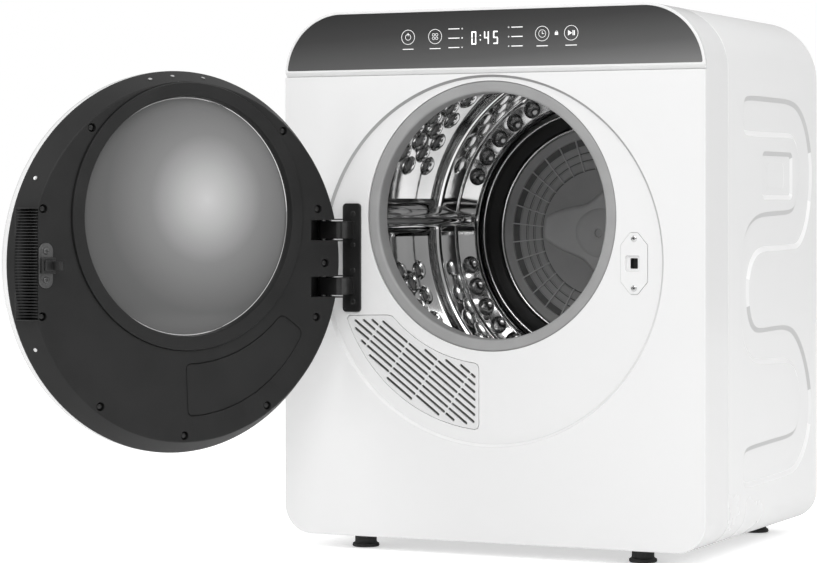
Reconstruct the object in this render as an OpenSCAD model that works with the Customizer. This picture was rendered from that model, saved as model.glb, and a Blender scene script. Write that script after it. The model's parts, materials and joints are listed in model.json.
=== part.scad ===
// Compact free-standing vented clothes dryer with a round side-hung door.
// Frame: X to the right, Y from front to rear, Z up. The origin lies on the floor under the
// middle of the cabinet. Every module is written in the cabinet's own frame, where y = 0 is
// the front plane and z = 0 the underside of the cabinet, and placed() moves it to the floor.

/* [Cabinet] */
// Width of the cabinet
cab_w = 490; // [470:1:620]
// Depth of the cabinet from front plane to rear cover
cab_d = 387; // [360:1:480]
// Height of the cabinet above its feet
cab_h = 573; // [550:1:700]
// Height of the rubber feet
foot_h = 15; // [10:1:30]
// Radius of the two upper corners
top_r = 69; // [40:1:90]
// Radius of the two lower corners
bottom_r = 32; // [20:1:60]
// Wall of the moulded shells
wall = 2.5; // [2:0.1:4]
// Depth of the front shell's skirt
skirt_d = 72; // [60:1:100]

/* [Control panel] */
// Height of the glass control panel
panel_h = 61; // [45:1:80]
// Border of shell left round the glass
panel_rim = 2.8; // [2:0.1:6]
// Height of the bezel strip and shadow gap under the glass
panel_gap = 6.8; // [5:0.1:12]
// Thickness of the control glass
panel_t = 3; // [2:0.5:5]

/* [Door] */
// Radius of the door at its widest rim
door_r = 200.5; // [165:0.5:215]
// Depth of the liner from the rim to its flat face
liner_d = 25.6; // [22:0.1:32]
// How far the liner's flat face is inset from the rim
liner_slope = 12.5; // [8:0.5:20]
// Depth of the outer door shell behind the rim
door_dome = 22.5; // [18:0.5:35]
// Wall of the door mouldings
door_t = 2.5; // [2:0.1:3]
// Angle from the stored open position to closed
door_open = 119.1; // [90:0.1:120]

/* [Loading port] */
// Width of the ring between the loading port and the rim of the door
port_inset = 68.2; // [66:0.1:90]
// Width of the gasket face round the port
gasket_w = 12.4; // [8:0.1:16]
// Depth of the recess that receives the door
recess_t = 4.1; // [3.8:0.1:6]

/* [Hinge] */
// Distance of the hinge axis inside the door rim
hinge_in = 15.7; // [14:0.1:20]
// Height of one hinge arm
arm_h = 19; // [14:0.5:24]
// Distance between the middles of the two arms
arm_pitch = 61; // [50:1:80]
// Radius of the hinge pins
pin_r = 2.5; // [2:0.1:3.5]
// Running clearance of pins, shafts and axles
run_gap = 0.05; // [0.03:0.01:0.09]

/* [Drum] */
// Outer radius of the drum
drum_r = 209.8; // [170:0.1:215]
// Share of the room in the front collar by which the drum hangs below the port
drop_share = 0.42; // [0:0.01:0.8]
// Sheet thickness of the drum
drum_t = 1.2; // [0.8:0.1:2]
// Outer radius of the rear bearing ring
ring_r = 146; // [110:1:155]
// Width of the bearing ring round the lint filter cover
ring_w = 21.4; // [18:0.1:30]
// Number of lifters in the drum
lifter_count = 3; // [2:1:5]

/* [Drive] */
// Motor axis to the right of the middle
motor_x = 140; // [120:1:170]
// Motor axis above the underside of the cabinet
motor_z = 66; // [60:1:80]
// Radius of the motor housing
motor_r = 46; // [35:1:50]
// Radius of the motor shaft
shaft_r = 5; // [4:0.5:7]
// Groove radius of the drum drive pulley
drive_r = 10; // [8:0.5:14]
// Groove radius of the fan drive pulley
fan_drive_r = 20; // [16:1:26]
// Groove radius of the fan pulley
fan_pulley_r = 20; // [16:1:30]
// Thickness of both belts
belt_t = 2; // [1.5:0.1:3]
// Radius of the drum support rollers
roller_r = 22; // [16:1:28]
// Radius of the idler pulley
idler_r = 14; // [10:1:18]

/* [Exhaust] */
// Outer radius of the exhaust spigot
spigot_r = 50; // [40:1:60]
// Length of the spigot behind the rear cover
spigot_out = 15; // [10:1:40]
// Radius of the bore of the mains cord gland
gland_r = 4.5; // [3:0.1:6]

/* [Hidden] */
$fn = 64;

// heights in the cabinet frame
front_top = cab_h - panel_rim - panel_h - panel_gap;
recess_r = door_r - 1;
flat_r = door_r - liner_slope;
door_z = front_top - recess_r - 1;
port_r = door_r - port_inset;
gasket_r = port_r + gasket_w;
dam_r = port_r + 7.9;
port_up = flat_r - dam_r;
port_z = door_z + port_up;
panel_mid = cab_h - panel_rim - panel_h / 2;

// depths in the cabinet frame
skin = 3;
floor_y = recess_t + skin;
gasket_y = recess_t + 0.5;
bulk_y = 24;
bulk_t = 2;
drum_y0 = bulk_y + bulk_t + 4;
rear_y = cab_d - 49;
sheet = 1.2;
drum_y1 = rear_y - 21;
cover_y = cab_d - 2;
fan_back_y = rear_y + 29;
belt_y = drum_y0 + 100;
pulley_y = fan_back_y + 3;
gap = 0.35;
seat = 0.2;

// seams, side walls, base and rear cover
seam = 0.4;
grip_y = cab_d - 147;
grip_z = cab_h - 179;
grip_half_y = 27.5;
grip_half_z = 13.5;
grip_deep = 18;
well_half_y = 54;
well_half_z = 26.5;
well_deep = 2.2;
band_t = 1.2;
band_half = 20;
band_low = 81;
band_high = cab_h - 115;
band_front_y = skirt_d + 49;
bend_front_y = cab_d - 164;
bend_rear_y = cab_d - 99;
base_w = cab_w / 2 - bottom_r;
pan_t = 3;
foot_r = 15;
foot_pin = 2.9;
gland_hole_r = gland_r + 4;
gland_x = cab_w / 2 - 45;
gland_z = 45;
flange_t = 1.5;

// door, hinge and latch
rim_gap = liner_d - 1;
hinge_x = hinge_in - door_r;
arm_reach = 22;
arm_t = 5;
arm_foot = arm_reach - 4;
plate_t = 2.5;
knuckle_r = 6;
boss_l = 8;
notch_gap = 1.5;
bracket_x0 = hinge_x + 10;
bracket_w = 21.9;
bracket_h = arm_pitch + arm_h + 39;
latch_u = door_r - 36.8;
latch_v = -1.5;
slot_z = door_z + latch_v;
plate_u = latch_u + 6;
receiver_u = latch_u + 1.4;
receiver_half = 14.9;
receiver_high = 32.2;
latch_screw = 26;
hook_n = rim_gap + bulk_y - 0.6;
glass_r = port_r - 4;
glass_t = 3;
glass_back_n = liner_d - 8.1;
rear_screw = 14.7;

// drum
neck_t = 2;
tube_t = 2.6;
neck_r = port_r + tube_t + 0.1;
collar_r = drum_r - 20;
collar_t = 3;
felt_t = 3;
lip_r = collar_r + felt_t + gap;
drum_z = port_z - drop_share * (collar_r - collar_t - neck_r - neck_t);
filter_r = ring_r - ring_w;
boss_r = ring_r + 6;
lifter_h = 0.22 * drum_r;
lifter_half = 17;

// drive
motor_y0 = belt_y + 22;
motor_l = 108;
motor_boss = 14;
impeller_r = 88;
volute_r = 104;
spigot_x = -112;
spigot_z = 112;
spigot_t = 2;
roller_y = drum_y0 + 30;
roller_w = 12;
roller_a = 32;
roller_d = drum_r + gap + roller_r;
axle_r = 4;
idler_axle = 3;
idler_along = 78;
heater_w = 86;
heater_h = 150;
heater_x = 126;
heater_z = drum_z - 40;
heater_deep = 30;

function roller_x(side) = side * roller_d * sin(roller_a);
function roller_z() = drum_z - roller_d * cos(roller_a);
function dist(a, b) = norm([b[0] - a[0], b[1] - a[1]]);
function heading(a, b) = atan2(b[1] - a[1], b[0] - a[0]);
function along(p, a, r) = [p[0] + r * cos(a), p[1] + r * sin(a)];

drum_c = [0, drum_z];
motor_c = [motor_x, motor_z];
// direction, seen from the motor, of the belt run that the idler presses
run_a = heading(motor_c, drum_c) + asin((drum_r + gap - drive_r) / dist(motor_c, drum_c));
idler_off = idler_r + belt_t + gap;
idler_p = along(along(motor_c, run_a, idler_along), run_a + 90, drive_r + gap + idler_off);
arm_p = [idler_p[0] - 6, idler_p[1] - 38];

// ---------- helpers ----------
module placed() {
    translate([0, -cab_d / 2, foot_h]) children();
}

// extrudes an outline drawn in x and z from y0 over a depth
module slab(y0, depth) {
    translate([0, y0 + depth, 0]) rotate([90, 0, 0]) linear_extrude(depth) children();
}

module rod(r, y0, len, x = 0, z = 0) {
    translate([x, y0, z]) rotate([-90, 0, 0]) cylinder(r = r, h = len);
}

module taper(r1, r2, y0, len, x = 0, z = 0) {
    translate([x, y0, z]) rotate([-90, 0, 0]) cylinder(r1 = r1, r2 = r2, h = len);
}

module tube(r_out, r_in, y0, len, x = 0, z = 0) {
    difference() {
        rod(r_out, y0, len, x, z);
        rod(r_in, y0 - 1, len + 2, x, z);
    }
}

module block(x0, x1, y0, y1, z0, z1) {
    translate([x0, y0, z0]) cube([x1 - x0, y1 - y0, z1 - z0]);
}

// cabinet outline, moved inwards by inset
module outline(inset = 0) {
    w = cab_w / 2 - inset;
    rt = top_r - inset;
    rb = bottom_r - inset;
    top = cab_h - inset;
    translate([-w, inset + rb]) square([2 * w, top - rt - inset - rb]);
    translate([-w + rt, top - rt - 1]) square([2 * (w - rt), rt + 1]);
    translate([-w + rb, inset]) square([2 * (w - rb), rb + 1]);
    for (s = [-1, 1]) {
        translate([s * (w - rt), top - rt]) circle(rt);
        translate([s * (w - rb), inset + rb]) circle(rb);
    }
}

module rounded(x0, x1, z0, z1, r) {
    translate([x0 + r, z0]) square([x1 - x0 - 2 * r, z1 - z0]);
    translate([x0, z0 + r]) square([x1 - x0, z1 - z0 - 2 * r]);
    for (x = [x0 + r, x1 - r]) for (z = [z0 + r, z1 - r]) translate([x, z]) circle(r);
}

// closed loop round two pulleys
module loop2d(c1, r1, c2, r2) {
    a = heading(c1, c2);
    b = acos((r1 - r2) / dist(c1, c2));
    translate(c1) circle(r1);
    translate(c2) circle(r2);
    polygon([along(c1, a + b, r1), along(c1, a - b, r1), along(c2, a - b, r2), along(c2, a + b, r2)]);
}

module belt(c1, r1, c2, r2, y0, w) {
    slab(y0, w) difference() {
        loop2d(c1, r1 + belt_t, c2, r2 + belt_t);
        loop2d(c1, r1, c2, r2);
    }
}

// vent outline between the port and the foot of the recess
module vent_shape(grow = 0) {
    r_in = gasket_r + 14 - grow;
    r_out = recess_r - 17.5 + grow;
    intersection() {
        difference() {
            translate([0, door_z]) circle(r_out);
            translate([0, port_z]) circle(r_in);
        }
        translate([-cab_w / 2, 0]) square([cab_w / 2 - 12.5 + grow, door_z - 60 + grow]);
    }
}

// ---------- cabinet ----------
module front_shell() color("white") placed() difference() {
    union() {
        difference() {
            slab(0, skirt_d) outline();
            slab(skin, skirt_d) outline(wall);
        }
        rod(recess_r + 4, 0, floor_y, 0, door_z);
    }
    slab(-1, floor_y + 2) intersection() {
        outline(panel_rim);
        translate([-cab_w / 2, front_top]) square([cab_w, cab_h]);
    }
    taper(recess_r, recess_r - 3.5, -0.01, recess_t + 0.01, 0, door_z);
    rod(gasket_r + 0.2, 0, 20, 0, port_z);
    slab(0, 20) vent_shape();
    slab(0, 20) receiver_shape(seat);
    foot_holes();
    for (p = bracket_screws()) rod(2, 0, 20, p[0], p[1]);
}

module receiver_shape(grow = 0) {
    w = receiver_half + grow;
    h = receiver_high + grow;
    translate([receiver_u, slot_z]) polygon([[-w, -h + 13], [-4, -h], [4, -h],
        [w, -h + 13], [w, h - 13], [4, h], [-4, h], [-w, h - 13]]);
}

module rear_shell() color("white") placed() difference() {
    union() {
        difference() {
            slab(skirt_d + seam, cover_y - skirt_d - seam) outline();
            slab(skirt_d, cab_d) outline(wall);
        }
        for (s = [-1, 1]) mirrored(s) grip_cup(2);
        for (p = cover_screws()) screw_boss(p);
    }
    for (p = cover_screws()) rod(1.6, cover_y - 11, 20, p[0], p[1]);
    foot_holes();
    for (s = [-1, 1]) mirrored(s) {
        grip_cup(0);
        side_band();
    }
}

// boss for one screw of the rear cover, tied to the side wall
module screw_boss(p) {
    side = p[0] > 0 ? 1 : -1;
    rod(4.5, cover_y - 12, 12, p[0], p[1]);
    block(p[0] + 5 * side - 5, p[0] + 5 * side + 5, cover_y - 12, cover_y, p[1] - 2, p[1] + 2);
}

module foot_holes() for (p = foot_points()) rod_z(foot_pin + 0.1, -1, wall + 2, p);

module mirrored(s) {
    if (s > 0) children();
    else mirror([1, 0, 0]) children();
}

// finger recess in the side wall; grow gives the outside of its cup
module grip_cup(grow) {
    over = grow > 0 ? -1 : 1;
    module pocket(deep, half_y, half_z, corner) {
        translate([cab_w / 2 + over, 0, 0]) rotate([0, -90, 0]) linear_extrude(deep + grow + over)
            rounded(grip_z - half_z - grow, grip_z + half_z + grow, grip_y - half_y - grow,
                grip_y + half_y + grow, corner);
    }
    pocket(well_deep, well_half_y, well_half_z, 9);
    pocket(grip_deep, grip_half_y, grip_half_z, 7);
}

// serpentine band pressed into the side wall
module side_band() {
    xs = cab_w / 2 - band_t;
    zs = [for (i = [3:-1:0]) band_low + i * (band_high - band_low) / 3];
    module bar(z, y0, y1) block(xs, xs + 5, y0, y1, z - band_half, z + band_half);
    module bend(z0, z1, y, side) {
        r = (z0 - z1) / 2 + band_half;
        intersection() {
            translate([xs, y, (z0 + z1) / 2]) rotate([0, 90, 0]) difference() {
                cylinder(r = r, h = 5);
                translate([0, 0, -1]) cylinder(r = r - 2 * band_half, h = 7);
            }
            block(xs - 1, xs + 6, side > 0 ? y : y - 200, side > 0 ? y + 200 : y, 0, cab_h);
        }
    }
    bar(zs[0], band_front_y, bend_rear_y);
    bar(zs[1], bend_front_y, bend_rear_y);
    bar(zs[2], bend_front_y, bend_rear_y);
    bar(zs[3], band_front_y, bend_rear_y);
    bend(zs[0], zs[1], bend_rear_y, 1);
    bend(zs[1], zs[2], bend_front_y, -1);
    bend(zs[2], zs[3], bend_rear_y, 1);
}

module back_cover() color("gainsboro") placed() difference() {
    slab(cover_y, cab_d - cover_y) outline(0.6);
    rod(spigot_r + 0.5, cover_y - 1, 5, spigot_x, spigot_z);
    rod(gland_hole_r, cover_y - 1, 5, gland_x, gland_z);
    for (i = [0:7]) for (s = [-1, 1])
        block(s * 70 - 34, s * 70 + 34, cover_y - 1, cab_d + 1, cab_h - 90 - 12 * i, cab_h - 85 - 12 * i);
    for (p = cover_screws()) rod(1.6, cover_y - 1, 5, p[0], p[1]);
}

function cover_screws() = [for (x = [-1, 1]) for (z = [60, cab_h / 2, cab_h - 60])
    [x * (cab_w / 2 - 12), z]];

module base_pan() color("dimgray") placed() difference() {
    union() {
        block(-base_w, base_w, bulk_y + bulk_t + seat, rear_y - seat, wall, wall + pan_t);
        for (x = [-base_w * 0.6, 0])
            block(x - 4, x + 4, bulk_y + bulk_t + seat, rear_y - seat, wall, wall + 12);
    }
    for (p = foot_points()) rod_z(foot_pin + 0.1, wall - 1, 20, p);
}

function foot_points() = concat(
    [for (x = [-1, 1]) [x * (base_w - 50), 36]], [for (x = [-1, 1]) [x * (base_w - 30), cab_d - 37]]);

module rod_z(r, z0, h, p) translate([p[0], p[1], z0]) cylinder(r = r, h = h);

module feet() color("black") placed() for (p = foot_points()) {
    translate([p[0], p[1], -foot_h]) cylinder(r1 = foot_r, r2 = foot_r - 3, h = 4);
    rod_z(foot_r - 3, -foot_h + 4, foot_h - 4, p);
    rod_z(foot_pin, -1, wall + 9, p);
}

// ---------- control panel ----------
module panel_shape(inset) {
    intersection() {
        outline(panel_rim + inset);
        translate([-cab_w / 2, front_top + panel_gap]) square([cab_w, cab_h]);
    }
}

module control_bezel() color("white") placed() union() {
    slab(0.4, skin + 1) intersection() {
        outline(panel_rim + 0.2);
        translate([-cab_w / 2, front_top + 4.3]) square([cab_w, panel_gap - 4.5]);
    }
    slab(panel_t + 0.3, 1.5) difference() {
        intersection() {
            outline(panel_rim + 0.2);
            translate([-cab_w / 2, front_top + 0.2]) square([cab_w, cab_h]);
        }
        translate([-110, panel_mid - 23]) square([220, 44]);
    }
}

module control_glass() color([0.12, 0.12, 0.13]) placed() slab(0.2, panel_t) panel_shape(0.2);

module display_module() color("black") placed() {
    block(-40, 32, panel_t + 0.4, panel_t + 5.4, panel_mid - 15, panel_mid + 15);
}

module control_board() color("darkgreen") placed() difference() {
    block(-108, 108, panel_t + 5.4, panel_t + 7, panel_mid - 22, panel_mid + 20);
    for (x = [-100, 100]) rod(1.6, panel_t + 4, 5, x, panel_mid - 17);
}

// ---------- front bulkhead and port ----------
module front_bulkhead() color("lightgray") placed() difference() {
    union() {
        slab(bulk_y, bulk_t) outline(wall + 0.1);
        rod(neck_r + neck_t, floor_y + 1.1, bulk_y - floor_y, 0, port_z);
        tube(collar_r, collar_r - collar_t, bulk_y + 1, 21, 0, drum_z);
    }
    rod(neck_r, 0, 60, 0, port_z);
    for (s = [-1, 1]) block(s * (cab_w / 2 - 65) - 30, s * (cab_w / 2 - 65) + 30, 0, 60, 24, 90);
    block(-115, 115, 0, 60, panel_mid + 8, panel_mid + 20);
}

module front_felt() color("beige") placed()
    tube(collar_r + felt_t, collar_r, bulk_y + bulk_t + 9, 11, 0, drum_z);

module door_gasket() color("gray") placed() difference() {
    union() {
        rod(gasket_r, gasket_y, floor_y + 1 - gasket_y, 0, port_z);
        rod(port_r + tube_t, gasket_y, bulk_y + bulk_t - gasket_y, 0, port_z);
    }
    rod(port_r, 0, 60, 0, port_z);
}

module vent_grille() color("white") placed() slab(recess_t + 0.2, 2.6) difference() {
    vent_shape(-0.2);
    intersection() {
        vent_shape(-6);
        translate([-90, door_z - 120]) rotate(-37) for (i = [-12:12]) for (j = [-4:4])
            translate([j * 39.4 - 18.4, i * 6.55 - 1.5]) square([36.8, 3]);
    }
}

module latch_receiver() color("white") placed() difference() {
    union() {
        slab(recess_t, 2.4) receiver_shape();
        block(latch_u - 11, latch_u + 12, recess_t + 1, recess_t + 9.8, slot_z - 11, slot_z + 11);
    }
    block(latch_u - 8, latch_u + 7.3, 0, recess_t + 8, slot_z - 8.3, slot_z + 8.3);
    block(latch_u - 3.7, latch_u + 4.7, 0, 30, slot_z - 5.5, slot_z + 5.5);
    for (s = [-1, 1]) rod(1.9, 0, 20, receiver_u, slot_z + s * latch_screw);
}

// round cross-head screw whose head stands from y0 over 1.6
module pan_screw(p, y0, head_r, shank_r, len) {
    difference() {
        taper(head_r * 0.7, head_r, y0, 1.6, p[0], p[1]);
        for (a = [0, 90]) translate([p[0], y0, p[1]]) rotate([0, a, 0])
            cube([head_r, 1.2, 0.9], center = true);
    }
    rod(shank_r, y0 + 1.5, len, p[0], p[1]);
}

// screws of the latch receiver and of the hinge bracket
module front_screws() color("silver") placed() {
    for (s = [-1, 1]) pan_screw([receiver_u, slot_z + s * latch_screw], recess_t - 1.7, 3.8, 1.8, 8);
    for (p = bracket_screws()) flat_screw(p, recess_t - plate_t + 0.05);
}

// countersunk cross-head screw, flush with the bracket
module flat_screw(p, y0) difference() {
    union() {
        taper(3.4, 1.9, y0, 1.5, p[0], p[1]);
        rod(1.9, y0 + 1, 8, p[0], p[1]);
    }
    for (a = [0, 90]) translate([p[0], y0, p[1]]) rotate([0, a, 0]) cube([4, 1.4, 0.9], center = true);
}

module door_switch() color("dimgray") placed() difference() {
    block(latch_u - 12, latch_u + 12, recess_t + 9.9, bulk_y, slot_z - 24, slot_z - 9);
    rod_z(1.5 + run_gap, slot_z - 14, 8, [latch_u, 19]);
}

module switch_plunger() color("red") placed() rod_z(1.5, slot_z - 12, 5.5, [latch_u, 19]);

// ---------- hinge ----------
module arm_zs() for (s = [-1, 1]) translate([0, 0, door_z + 2 + s * arm_pitch / 2]) children();

module hinge_arm() difference() {
    translate([hinge_x, -rim_gap, -arm_h / 2]) {
        cylinder(r = knuckle_r, h = arm_h);
        translate([0, -knuckle_r + 0.5, 0]) cube([arm_foot, arm_t, arm_h]);
        translate([arm_foot, 0, 0]) intersection() {
            translate([0, -0.5, 0]) cylinder(r = arm_t, h = arm_h);
            translate([0, -10, 0]) cube([10, 10, arm_h]);
        }
        translate([arm_foot, -0.6, 0]) cube([arm_t, rim_gap + recess_t - plate_t + 1, arm_h]);
    }
    translate([hinge_x, -rim_gap, -arm_h]) cylinder(r = pin_r + run_gap, h = 2 * arm_h);
}

module hinge_bracket() color([0.1, 0.1, 0.1]) placed() union() {
    difference() {
        slab(recess_t - plate_t, plate_t)
            rounded(bracket_x0, bracket_x0 + bracket_w, door_z + 2 - bracket_h / 2,
                door_z + 2 + bracket_h / 2, 4);
        for (p = bracket_screws()) {
            rod(2, -1, 10, p[0], p[1]);
            taper(3.52, 2, recess_t - plate_t - 0.01, 1.55, p[0], p[1]);
        }
    }
    arm_zs() hinge_arm();
}

function bracket_screws() = [for (s = [-1, 1]) for (d = [arm_pitch / 2 - arm_h / 2 - 7,
    arm_pitch / 2 + arm_h / 2 + 8]) [bracket_x0 + bracket_w / 2 + 2, door_z + 2 + s * d]];

// ---------- rear ----------
module rear_bulkhead() color("silver") placed() difference() {
    slab(rear_y, sheet) outline(wall + 0.1);
    rod(filter_r - 4, rear_y - 1, 4, 0, drum_z);
    rod(shaft_r + 3, rear_y - 1, 4, motor_x, motor_z);
    block(boss_r, heater_x + 60, rear_y - 1, rear_y + 3, drum_z - 30, drum_z + 30);
}

module rear_seal() color("beige") placed()
    tube(drum_r - 8, (drum_r + boss_r) / 2, drum_y1 + drum_t + gap, rear_y - drum_y1 - drum_t - gap,
        0, drum_z);

module rear_bearing_ring() color([0.08, 0.08, 0.08]) placed() difference() {
    rod(ring_r, drum_y1 - 3, rear_y - drum_y1 + 3, 0, drum_z);
    taper(ring_r - 3, filter_r + 3, drum_y1 - 4, 20, 0, drum_z);
    rod(filter_r + 3, drum_y1, 40, 0, drum_z);
}

module filter_trim() color("silver") placed()
    tube(filter_r + 2.9, filter_r + 0.2, rear_y - 8, 8, 0, drum_z);

module filter_cover() color("gray") placed() slab(rear_y - 6, 3) translate([0, drum_z]) union() {
    for (share = [0.26, 0.5, 0.72, 1]) difference() {
        circle(filter_r * share);
        circle(share > 0.3 ? filter_r * share - 4 : 4);
    }
    difference() {
        for (a = [0:30:330]) rotate(a) translate([20, -1.5]) square([filter_r - 22, 3]);
        circle(10);
    }
}

module filter_mesh() color("silver") placed() rod(filter_r - 1, rear_y - 2.9, 1, 0, drum_z);

module heater_housing() color("silver") placed() difference() {
    block(heater_x, heater_x + heater_w, rear_y + sheet, rear_y + heater_deep,
        heater_z, heater_z + heater_h);
    block(heater_x + 1.5, heater_x + heater_w - 1.5, rear_y, rear_y + heater_deep - 1.5,
        heater_z - 1, heater_z + heater_h - 1.5);
}

module heater_core() color("orange") placed() difference() {
    block(heater_x + 1.5, heater_x + heater_w - 1.5, rear_y + 3, rear_y + heater_deep - 3,
        heater_z + 6, heater_z + 26);
    for (i = [0:8]) block(heater_x + 5 + 9 * i, heater_x + 10 + 9 * i, rear_y + 6,
        rear_y + heater_deep - 6, heater_z, heater_z + 40);
}

module thermal_cutouts() color("tan") placed() for (dz = [60, 100])
    rod(8, rear_y + heater_deep, 6, heater_x + heater_w / 2, heater_z + dz);

module fan_housing() color("dimgray") placed() difference() {
    union() {
        rod(volute_r + 2, rear_y + sheet, fan_back_y - rear_y - sheet, 0, drum_z);
        block(spigot_x - spigot_r - 2, 0, rear_y + sheet, fan_back_y, spigot_z - spigot_r - 2, drum_z);
    }
    rod(volute_r, rear_y, fan_back_y - rear_y - 2, 0, drum_z);
    block(spigot_x - spigot_r, -2, rear_y, fan_back_y - 2, spigot_z - spigot_r, drum_z - 2);
    rod(axle_r + run_gap, rear_y, 60, 0, drum_z);
    rod(spigot_r - spigot_t, rear_y + 5, 60, spigot_x, spigot_z);
}

module fan_axle() color("silver") placed() rod(axle_r, rear_y + 10, fan_back_y - rear_y, 0, drum_z);

module exhaust_spigot() color("dimgray") placed() difference() {
    union() {
        rod(spigot_r, fan_back_y, cab_d - fan_back_y + spigot_out, spigot_x, spigot_z);
        rod(spigot_r + 6, fan_back_y, 2, spigot_x, spigot_z);
        rod(spigot_r + 5, cab_d, flange_t, spigot_x, spigot_z);
    }
    rod(spigot_r - spigot_t, fan_back_y - 1, 60, spigot_x, spigot_z);
}

module cord_gland() color("black") placed() difference() {
    union() {
        rod(gland_hole_r - 0.1, cover_y - 4, 8, gland_x, gland_z);
        rod(gland_hole_r + 3, cab_d, 4, gland_x, gland_z);
        rod(gland_hole_r + 3, cover_y - 4, 4, gland_x, gland_z);
    }
    rod(gland_r, cover_y - 5, 20, gland_x, gland_z);
}

module back_screws() color("silver") placed() for (p = cover_screws())
    translate([0, 2 * cab_d + 1.7, 0]) mirror([0, 1, 0]) pan_screw(p, cab_d, 3.4, 1.5, 9);

// ---------- drive ----------
module motor_housing() color("gray") placed() difference() {
    union() {
        rod(motor_r, motor_y0, motor_l, motor_x, motor_z);
        rod(motor_boss, motor_y0 - 6, motor_l + 12, motor_x, motor_z);
    }
    rod(shaft_r + run_gap, motor_y0 - 10, motor_l + 20, motor_x, motor_z);
}

module motor_bracket() color("silver") placed() difference() {
    union() {
        block(motor_x - 40, motor_x + 40, motor_y0 - 6, motor_y0 + motor_l + 6,
            wall + pan_t, wall + pan_t + 3);
        for (y = [motor_y0 - 3, motor_y0 + motor_l])
            block(motor_x - 30, motor_x + 30, y, y + 3, wall + pan_t, motor_z);
        block(arm_p[0] - 9, motor_x - 20, motor_y0 - 6, motor_y0 - 3, wall + pan_t, arm_p[1] + 9);
        rod(axle_r, belt_y, motor_y0 - belt_y - 3, arm_p[0], arm_p[1]);
    }
    rod(motor_boss + 0.1, 0, cab_d, motor_x, motor_z);
}

module capacitor() color("white") placed() rod(17, motor_y0 + 10, 70, motor_x - 75, wall + pan_t + 17.2);

module motor_shaft() color("silver") placed()
    rod(shaft_r, belt_y - 4, pulley_y + 10 - belt_y + 4, motor_x, motor_z);

// flanged belt pulley with its groove at radius r
module pulley(c, r, y0, w, bore) difference() {
    union() {
        rod(r - gap, y0, w, c[0], c[1]);
        rod(r + belt_t, y0, 1.2, c[0], c[1]);
        rod(r + belt_t, y0 + w - 1.2, 1.2, c[0], c[1]);
    }
    rod(bore, y0 - 1, w + 2, c[0], c[1]);
}

module drive_pulley() color("silver") placed() pulley(motor_c, drive_r, belt_y - 2, 14, shaft_r);

module fan_drive_pulley() color("silver") placed() pulley(motor_c, fan_drive_r, pulley_y, 8, shaft_r);

module fan_pulley() color("black") placed() pulley(drum_c, fan_pulley_r, pulley_y, 8, axle_r);

module fan_impeller() color("dimgray") placed() difference() {
    union() {
        rod(impeller_r, fan_back_y - 7, 2, 0, drum_z);
        rod(12, rear_y + 10, fan_back_y - rear_y - 15, 0, drum_z);
        for (a = [0:30:330]) translate([0, 0, drum_z]) rotate([0, a, 0])
            block(40, impeller_r - 2, rear_y + 8, fan_back_y - 5, -1, 1);
    }
    rod(axle_r, 0, cab_d, 0, drum_z);
}

module drum_belt() color([0.1, 0.1, 0.1]) placed()
    belt(drum_c, drum_r + gap, motor_c, drive_r, belt_y, 10);

module fan_belt() color([0.1, 0.1, 0.1]) placed()
    belt(drum_c, fan_pulley_r, motor_c, fan_drive_r, pulley_y + 2, 4);

module tension_arm() color("silver") placed() difference() {
    union() {
        slab(belt_y + 12, 3) loop2d(arm_p, 8, idler_p, 6);
        rod(idler_axle, belt_y - 1, 14, idler_p[0], idler_p[1]);
    }
    rod(axle_r + run_gap, 0, cab_d, arm_p[0], arm_p[1]);
}

module idler_pulley() color("white") placed() difference() {
    rod(idler_r, belt_y, 10, idler_p[0], idler_p[1]);
    rod(idler_axle + run_gap, 0, cab_d, idler_p[0], idler_p[1]);
}

module roller_axles() color("silver") placed() for (s = [-1, 1]) {
    rod(axle_r, bulk_y + bulk_t, roller_y + roller_w - bulk_y, roller_x(s), roller_z());
    rod(9, bulk_y + bulk_t, 8, roller_x(s), roller_z());
}

module roller(s) difference() {
    rod(roller_r, roller_y, roller_w, roller_x(s), roller_z());
    rod(axle_r + run_gap, 0, cab_d, roller_x(s), roller_z());
}

module roller_left() color("white") placed() roller(-1);

module roller_right() color("white") placed() roller(1);

// ---------- drum ----------
module drum_shell() color("silver") placed() {
    tube(drum_r, drum_r - drum_t, drum_y0, drum_y1 - drum_y0, 0, drum_z);
    tube(drum_r - 0.5, lip_r, drum_y0, drum_t, 0, drum_z);
    tube(lip_r + drum_t, lip_r, drum_y0, 18, 0, drum_z);
}

module drum_back() color("silver") placed() difference() {
    union() {
        rod(drum_r, drum_y1, drum_t, 0, drum_z);
        rod(boss_r, drum_y1, 9, 0, drum_z);
    }
    rod(ring_r + run_gap + 0.04, 0, cab_d, 0, drum_z);
    taper(ring_r + 5, ring_r + 1.5, drum_y1 - 0.01, 5, 0, drum_z);
    for (k = [0, 1]) for (a = [0:12:348]) translate([0, 0, drum_z]) rotate([0, a + 6 * k, 0])
        rod(2.5, drum_y1 - 1, 4, boss_r + (drum_r - boss_r) * (0.17 + 0.24 * k), 0);
}

module lifter(i) translate([0, 0, drum_z])
    rotate([0, 360 / lifter_count * i + 175, 0]) difference() {
        block(drum_r - lifter_h, drum_r - drum_t - 0.9, drum_y0 + 24, drum_y1 - 6,
            -lifter_half, lifter_half);
        for (s = [-1, 1]) translate([drum_r - lifter_h, 0, 0]) mirrored_z(s)
            rotate([0, -22, 0]) block(-40, 90, 0, cab_d, 9, 60);
    }

module mirrored_z(s) {
    if (s > 0) children();
    else mirror([0, 0, 1]) children();
}

module lifters() color([0.2, 0.2, 0.2]) placed() for (i = [0:lifter_count - 1]) lifter(i);

// ---------- door ----------
// places a piece drawn in the door's own closed frame: x along the radius away from the
// hinge, y into the cabinet from the rim plane, z up from the door's middle
module door_placed() placed() translate([hinge_x, -rim_gap, door_z]) rotate([0, 0, -door_open])
    translate([-hinge_x, 0, 0]) children();

module turned(pts) rotate([-90, 0, 0]) rotate_extrude() polygon(pts);

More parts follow.
